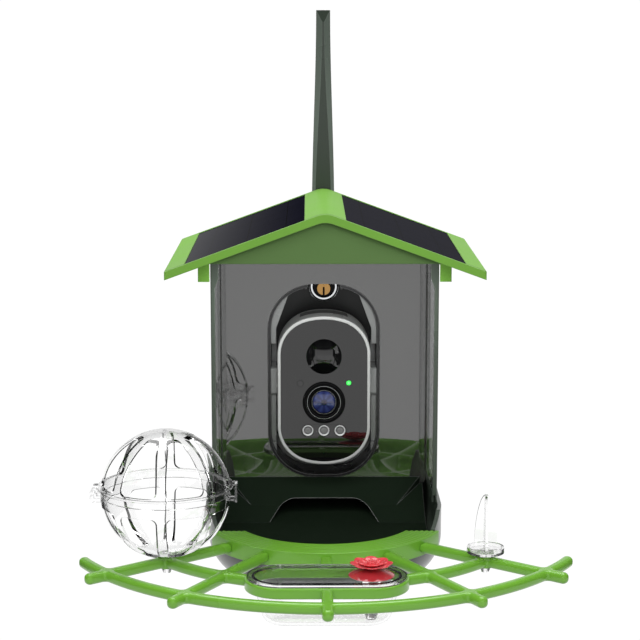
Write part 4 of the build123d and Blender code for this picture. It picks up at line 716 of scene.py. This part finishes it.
class FEEDER_OT_finishes(bpy.types.Operator):
    """Makes the shader groups and every material"""

    bl_idname = "feeder.finishes"
    bl_label = "Finishes"

    def execute(self, context):
        shades = context.scene.feeder_colours
        moulded_group()
        edge_highlight_group()
        polished = {"bump": 0.0, "edge": 0.0, "coat": 1.0, "coat_roughness": 0.0, "specular": 0.0}

        # Feeder
        roof_green(shades.roof)
        moulded("perch_green", shades.perch, roughness=0.3, edge=0.1, coat=0.35, coat_roughness=0.2)
        moulded("hull_dark", shades.hull, roughness=0.3, edge=0.2, coat=0.3)
        moulded(
            "seed_bed", shades.seed_bed, roughness=0.45, edge=0.9, edge_width=0.0006, specular=0.15
        )
        moulded("frame_dark", shades.frame, roughness=0.3, edge=0.3)
        # Painted light: the antenna's side facets are lightened by the way they face
        facet_lit_moulding("antenna_dark", tone(48, 57, 48), tone(112, 122, 113))
        moulded("black_plastic", tone(24, 25, 25), roughness=0.35, edge=0.3)
        moulded("bay_black", tone(42, 42, 43), roughness=0.25, edge=0.8, specular=0.35)
        moulded("cradle_grey", tone(138, 140, 139), roughness=0.25, edge=0.2, coat=0.5)
        moulded("red_plastic", shades.petals, roughness=0.25, edge=0.3, coat=0.4)
        # Painted shade: the flower's base is a darker copy of the petals' red
        shaded = [value * BASE_PAINTED_SHADE for value in shades.petals]
        moulded("base_red", shaded, roughness=0.25, edge=0.3, coat=0.6)
        moulded("rubber_black", tone(26, 26, 26), roughness=0.7, bump=0.15, edge=0.1)
        moulded("wire_red", tone(150, 24, 20), roughness=0.5, edge=0.0)
        panel = moulded(
            "smoked_panel", shades.panel,
            roughness=0.5, spread=0.02, drift=0.02, coat_ior=2.5, **polished,
        )
        shader_of(panel)[1].inputs["Alpha"].default_value = PANEL_OPACITY
        lean_shine(panel, *PANEL_LEAN)

        # Camera
        face = moulded(
            "camera_face", shades.face,
            roughness=0.3, spread=0.03, drift=0.02, coat_ior=1.65, **polished,
        )
        lean_shine(face, *FACE_LEAN)
        moulded("camera_casing", shades.casing, roughness=0.28, edge=0.2, coat=0.2)
        moulded("cover_grey", tone(92, 93, 92), roughness=0.4, edge=0.3)
        moulded("dome_dark", tone(8, 8, 9), roughness=0.2, spread=0.02, coat_ior=1.7, **polished)
        moulded(
            "barrel_black", tone(8, 8, 9),
            roughness=0.4, spread=0.03, bump=0.0, edge=0.12, specular=0.05,
        )
        moulded("light_bead", tone(118, 118, 118), roughness=0.25, edge=0.2, coat=0.6)
        moulded("cup_white", tone(240, 241, 241), roughness=0.25, edge=0.0, coat=0.5)
        moulded("board_green", tone(20, 84, 44), roughness=0.4, edge=0.2)
        moulded("cell_blue", tone(54, 96, 150), roughness=0.3, edge=0.2)
        lens_coating()
        status_light()

        # Metal, clear plastic and solar cells
        metal("screw_steel", tone(178, 180, 182))
        metal("lock_brass", shades.brass, roughness=0.28)
        slotted_brass(shades.brass)
        lock_ring()
        glass("clear_plastic")
        glass("window_clear")
        solar_cells(shades.solar, context.scene.feeder_sizes.cell)
        return {"FINISHED"}


class FEEDER_OT_house(bpy.types.Operator):
    """Dresses the tray, walls, front panel, bay and bracket"""

    bl_idname = "feeder.house"
    bl_label = "House"

    def execute(self, context):
        edge = context.scene.feeder_sizes.edge
        dress(["tray"], finish_of("hull_dark"), edge)
        dress(["seed_insert"], finish_of("seed_bed"), edge)
        dress(["side_frame_left", "side_frame_right"], finish_of("frame_dark"), edge)
        dress(["back_wall", "wall_bracket"], finish_of("black_plastic"), edge)
        dress(["camera_bay"], finish_of("bay_black"))
        dress(["camera_cradle"], finish_of("cradle_grey"), edge)
        dress(["front_panel"], finish_of("smoked_panel"), edge)
        dress(["side_window_left", "side_window_right"], finish_of("window_clear"))
        dress(["lock_bezel"], finish_of("lock_ring"))
        dress(["lock_screw"], finish_of("slotted_brass"))
        dress(["contact_pins", "pole_insert", "antenna_base"], finish_of("lock_brass"))
        dress(["bracket_screws", "frame_screws", "apron_screws"], finish_of("screw_steel"))
        return {"FINISHED"}


class FEEDER_OT_roof(bpy.types.Operator):
    """Dresses the lift-off roof and its solar panels"""

    bl_idname = "feeder.roof"
    bl_label = "Roof"

    def execute(self, context):
        edge = context.scene.feeder_sizes.edge
        dress(["roof_shell"], finish_of("roof_green"), edge)
        dress(["solar_panel_left", "solar_panel_right"], finish_of("solar_cells"), edge)
        dress(["roof_liner"], finish_of("black_plastic"), edge)
        dress(["roof_seal"], finish_of("rubber_black"))
        dress(["solar_wires"], finish_of("wire_red"))
        dress(["contact_pads"], finish_of("lock_brass"))
        dress(["roof_screws"], finish_of("screw_steel"))
        return {"FINISHED"}


class FEEDER_OT_camera(bpy.types.Operator):
    """Dresses the tilting camera, and adds the light cups and lens rings"""

    bl_idname = "feeder.camera"
    bl_label = "Camera"

    def execute(self, context):
        dress(["camera_shell", "power_button"], finish_of("camera_casing"))
        dress(["port_cover"], finish_of("cover_grey"))
        dress(["camera_back"], finish_of("black_plastic"))
        dress(["lens_barrel"], finish_of("barrel_black"))
        dress(["led_plate"], finish_of("camera_face"), context.scene.feeder_sizes.edge / 2)
        dress(["face_plate"], finish_of("camera_face"))
        dress(["pir_dome", "light_sensor"], finish_of("dome_dark"))
        dress(["lens_glass"], finish_of("lens_glass"))
        dress(["ir_leds"], finish_of("light_bead"))
        dress(["status_led"], finish_of("status_green"))
        dress(["camera_seal"], finish_of("rubber_black"))
        dress(["circuit_board"], finish_of("board_green"))
        dress(["battery_cells"], finish_of("cell_blue"))
        dress(["speaker", "tilt_pins"], finish_of("screw_steel"))

        low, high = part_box("led_plate")
        cups = bmesh.new()
        for place in (-1, 0, 1):
            centre = (place * LIGHT_PITCH, low[1], (low[2] + high[2]) / 2)
            turned(cups, LIGHT_CUP, centre, FORWARD, steps=40)
        piece("light_cups", cups, finish_of("cup_white"), "camera")

        low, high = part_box("lens_barrel")
        lens = ((low[0] + high[0]) / 2, low[1], (low[2] + high[2]) / 2)
        rings = bmesh.new()
        for radius, height, width in LENS_RINGS:
            foot, chamfer = height - RING_DEPTH, width * RING_CHAMFER
            profile = (
                (radius - width, foot), (radius - chamfer, height), (radius + chamfer, height),
                (radius + width, foot),
            )
            turned(rings, profile, lens, FORWARD, steps=72)
        piece("lens_rings", rings, finish_of("screw_steel"), "camera")
        return {"FINISHED"}


class FEEDER_OT_antenna(bpy.types.Operator):
    """Dresses the folding antenna"""

    bl_idname = "feeder.antenna"
    bl_label = "Antenna"

    def execute(self, context):
        edge = context.scene.feeder_sizes.edge
        dress(["antenna_blade", "antenna_knuckle"], finish_of("antenna_dark"), edge)
        dress(["antenna_pin"], finish_of("screw_steel"))
        return {"FINISHED"}


class FEEDER_OT_perch(bpy.types.Operator):
    """Dresses the perch web and the ridged front rim"""

    bl_idname = "feeder.perch"
    bl_label = "Perch and rim"

    def execute(self, context):
        dress(["apron", "perch_web"], finish_of("perch_green"))
        return {"FINISHED"}


class FEEDER_OT_clear_parts(bpy.types.Operator):
    """Dresses the cup, the flower's stem, the fruit ball and the fruit spike"""

    bl_idname = "feeder.clear_parts"
    bl_label = "Clear parts"

    def execute(self, context):
        names = [
            "water_cup", "flower_stem", "ball_lower", "ball_upper", "ball_hinge_pin", "ball_clasp",
            "fruit_spike",
        ]
        dress(names, finish_of("clear_plastic"))
        return {"FINISHED"}


class FEEDER_OT_flower(bpy.types.Operator):
    """Dresses the flower's base, and makes its petals and bud"""

    bl_idname = "feeder.flower"
    bl_label = "Flower"

    def execute(self, context):
        red = finish_of("red_plastic")
        dress(["flower_base"], finish_of("base_red"))
        low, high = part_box("flower")
        middle = Vector(((low[0] + high[0]) / 2, (low[1] + high[1]) / 2, low[2]))
        count = context.scene.feeder_sizes.petals
        bloom = bmesh.new()
        for ring, (reach, half, start, rise, curl) in enumerate(PETAL_RINGS):
            for number in range(count):
                turn = FULL_TURN * (number + ring / 2) / count
                petal(bloom, middle + Vector((0, 0, start)), turn, reach, half, rise, curl)
        head = piece("flower_petals", bloom, red, "flower")
        thickness = head.modifiers.new("petal_thickness", "SOLIDIFY")
        thickness.thickness = PETAL_THICKNESS
        thickness.offset = 0
        smooth = head.modifiers.new("petal_smoothing", "SUBSURF")
        smooth.levels = smooth.render_levels = 1
        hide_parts("flower")

        heart = bmesh.new()
        turned(heart, BUD, middle + Vector((0, 0, BUD_HEIGHT)), UP, steps=32)
        for number in range(count):
            turn = FULL_TURN * number / count
            aside = Vector((BEAD_RING * math.cos(turn), BEAD_RING * math.sin(turn), BEAD_HEIGHT))
            turned(heart, BEAD, middle + aside, UP, steps=10)
        piece("flower_heart", heart, red, "flower")
        return {"FINISHED"}


# Stage


def add_floor(scene):
    """A pale floor, with dark flags at its sides that only reflections see."""
    net = bmesh.new()
    bmesh.ops.create_grid(net, x_segments=1, y_segments=1, size=FLOOR_SIZE)
    sheet = bpy.data.meshes.new("floor")
    net.to_mesh(sheet)
    net.free()
    floor = bpy.data.objects.new("floor", sheet)
    floor.location.z = -FLOOR_DROP
    scene.collection.objects.link(floor)
    made, tree, shader = new_material("floor_white")
    tree.nodes.remove(shader)
    glow = tree.nodes.new("ShaderNodeEmission")
    paths = tree.nodes.new("ShaderNodeLightPath").outputs
    seen = math_node(tree, "MAXIMUM", paths["Is Camera Ray"], paths["Is Glossy Ray"])
    seen = math_node(tree, "MAXIMUM", seen, paths["Is Transmission Ray"])
    place = axes(tree, tree.nodes.new("ShaderNodeNewGeometry").outputs["Position"])
    away = math_node(tree, "ABSOLUTE", place["Y"])
    reach = math_node(tree, "MULTIPLY_ADD", away, FLAG_SLOPE, FLAG_START)
    aside = math_node(tree, "GREATER_THAN", math_node(tree, "ABSOLUTE", place["X"]), reach)
    mirrored = math_node(tree, "MULTIPLY", aside, paths["Is Glossy Ray"])
    flag = math_node(tree, "MULTIPLY", mirrored, FLAG_DEPTH)
    bright = math_node(tree, "MULTIPLY_ADD", seen, FLOOR_SEEN_GLOW, FLOOR_GLOW)
    shown = math_node(tree, "MULTIPLY", bright, math_node(tree, "SUBTRACT", 1.0, flag))
    tree.links.new(shown, glow.inputs["Strength"])
    tree.links.new(glow.outputs[0], tree.nodes["Material Output"].inputs["Surface"])
    made.cycles.emission_sampling = "NONE"
    sheet.materials.append(made)


def add_studio(scene):
    """A white backdrop and even light, with bands that only shiny and clear parts show."""
    sky = bpy.data.worlds.new("studio")
    scene.world = sky
    sky.use_nodes = True
    tree = sky.node_tree
    place = axes(tree, tree.nodes.new("ShaderNodeTexCoord").outputs["Generated"])
    paths = tree.nodes.new("ShaderNodeLightPath").outputs
    bands = ramp(tree, math_node(tree, "MULTIPLY_ADD", place["Z"], 0.5, 0.5), STUDIO_BANDS)
    clear = paths["Is Transmission Ray"]
    edge = math_node(tree, "MULTIPLY_ADD", clear, CLEAR_FLAG_SHIFT, SIDE_FLAG_EDGE)
    beside = math_node(tree, "GREATER_THAN", math_node(tree, "ABSOLUTE", place["X"]), edge)
    flagged = blend(tree, beside, bands, SIDE_FLAG)
    mirrored = math_node(tree, "MAXIMUM", paths["Is Glossy Ray"], clear)
    studio = blend(tree, mirrored, STUDIO_AMBIENT, flagged)
    backdrop = blend(tree, paths["Is Camera Ray"], studio, BACKDROP)
    tree.links.new(backdrop, tree.nodes["Background"].inputs["Color"])


def add_light(scene, name, place, aim, width, height, power):
    """A soft rectangular light; only the top light shows in reflections."""
    lamp = bpy.data.lights.new(name, "AREA")
    lamp.shape = "RECTANGLE"
    lamp.size, lamp.size_y, lamp.energy = width, height, power
    made = bpy.data.objects.new(name, lamp)
    scene.collection.objects.link(made)
    made.location = place
    made.rotation_mode = "QUATERNION"
    made.rotation_quaternion = (Vector(aim) - Vector(place)).to_track_quat("-Z", "Y")
    made.visible_glossy = name == "top_light"


def add_camera(scene):
    """The camera at the photograph's angle."""
    lens = bpy.data.cameras.new("photo_camera")
    lens.sensor_width = SENSOR_WIDTH
    lens.lens = SENSOR_WIDTH * FOCAL_PIXELS / FRAME_PIXELS
    lens.clip_start, lens.clip_end = 0.05, 200
    camera = bpy.data.objects.new("photo_camera", lens)
    scene.collection.objects.link(camera)
    camera.location = CAMERA_PLACE
    camera.rotation_euler = (math.radians(90 - CAMERA_PITCH), 0, math.radians(CAMERA_YAW))
    scene.camera = camera


class FEEDER_OT_stage(bpy.types.Operator):
    """Makes the pale floor, the soft lights and the camera at the photograph's angle"""

    bl_idname = "feeder.stage"
    bl_label = "Stage"

    def execute(self, context):
        scene = context.scene
        scene.view_settings.view_transform = "Standard"
        add_floor(scene)
        add_studio(scene)
        for light in LIGHTS:
            add_light(scene, *light)
        add_camera(scene)
        return {"FINISHED"}


STEPS = (
    FEEDER_OT_finishes,
    FEEDER_OT_house,
    FEEDER_OT_roof,
    FEEDER_OT_camera,
    FEEDER_OT_antenna,
    FEEDER_OT_perch,
    FEEDER_OT_clear_parts,
    FEEDER_OT_flower,
    FEEDER_OT_stage,
)


class FEEDER_PT_panel(bpy.types.Panel):
    """Lists the steps, colours and sizes"""

    bl_label = "Bird feeder"
    bl_idname = "FEEDER_PT_panel"
    bl_space_type = "VIEW_3D"
    bl_region_type = "UI"
    bl_category = "Feeder"

    def draw(self, context):
        for group in (context.scene.feeder_colours, context.scene.feeder_sizes):
            for key in group.__annotations__:
                self.layout.prop(group, key)
        for step in STEPS:
            self.layout.operator(step.bl_idname)


CLASSES = (FEEDER_PG_colours, FEEDER_PG_sizes, *STEPS, FEEDER_PT_panel)


def register():
    for made in CLASSES:
        bpy.utils.register_class(made)
    bpy.types.Scene.feeder_colours = PointerProperty(type=FEEDER_PG_colours)
    bpy.types.Scene.feeder_sizes = PointerProperty(type=FEEDER_PG_sizes)


def unregister():
    del bpy.types.Scene.feeder_sizes
    del bpy.types.Scene.feeder_colours
    for made in reversed(CLASSES):
        bpy.utils.unregister_class(made)


def main():
    register()
    for step in STEPS:
        group, name = step.bl_idname.split(".")
        getattr(getattr(bpy.ops, group), name)()


if __name__ == "__main__":
    main()
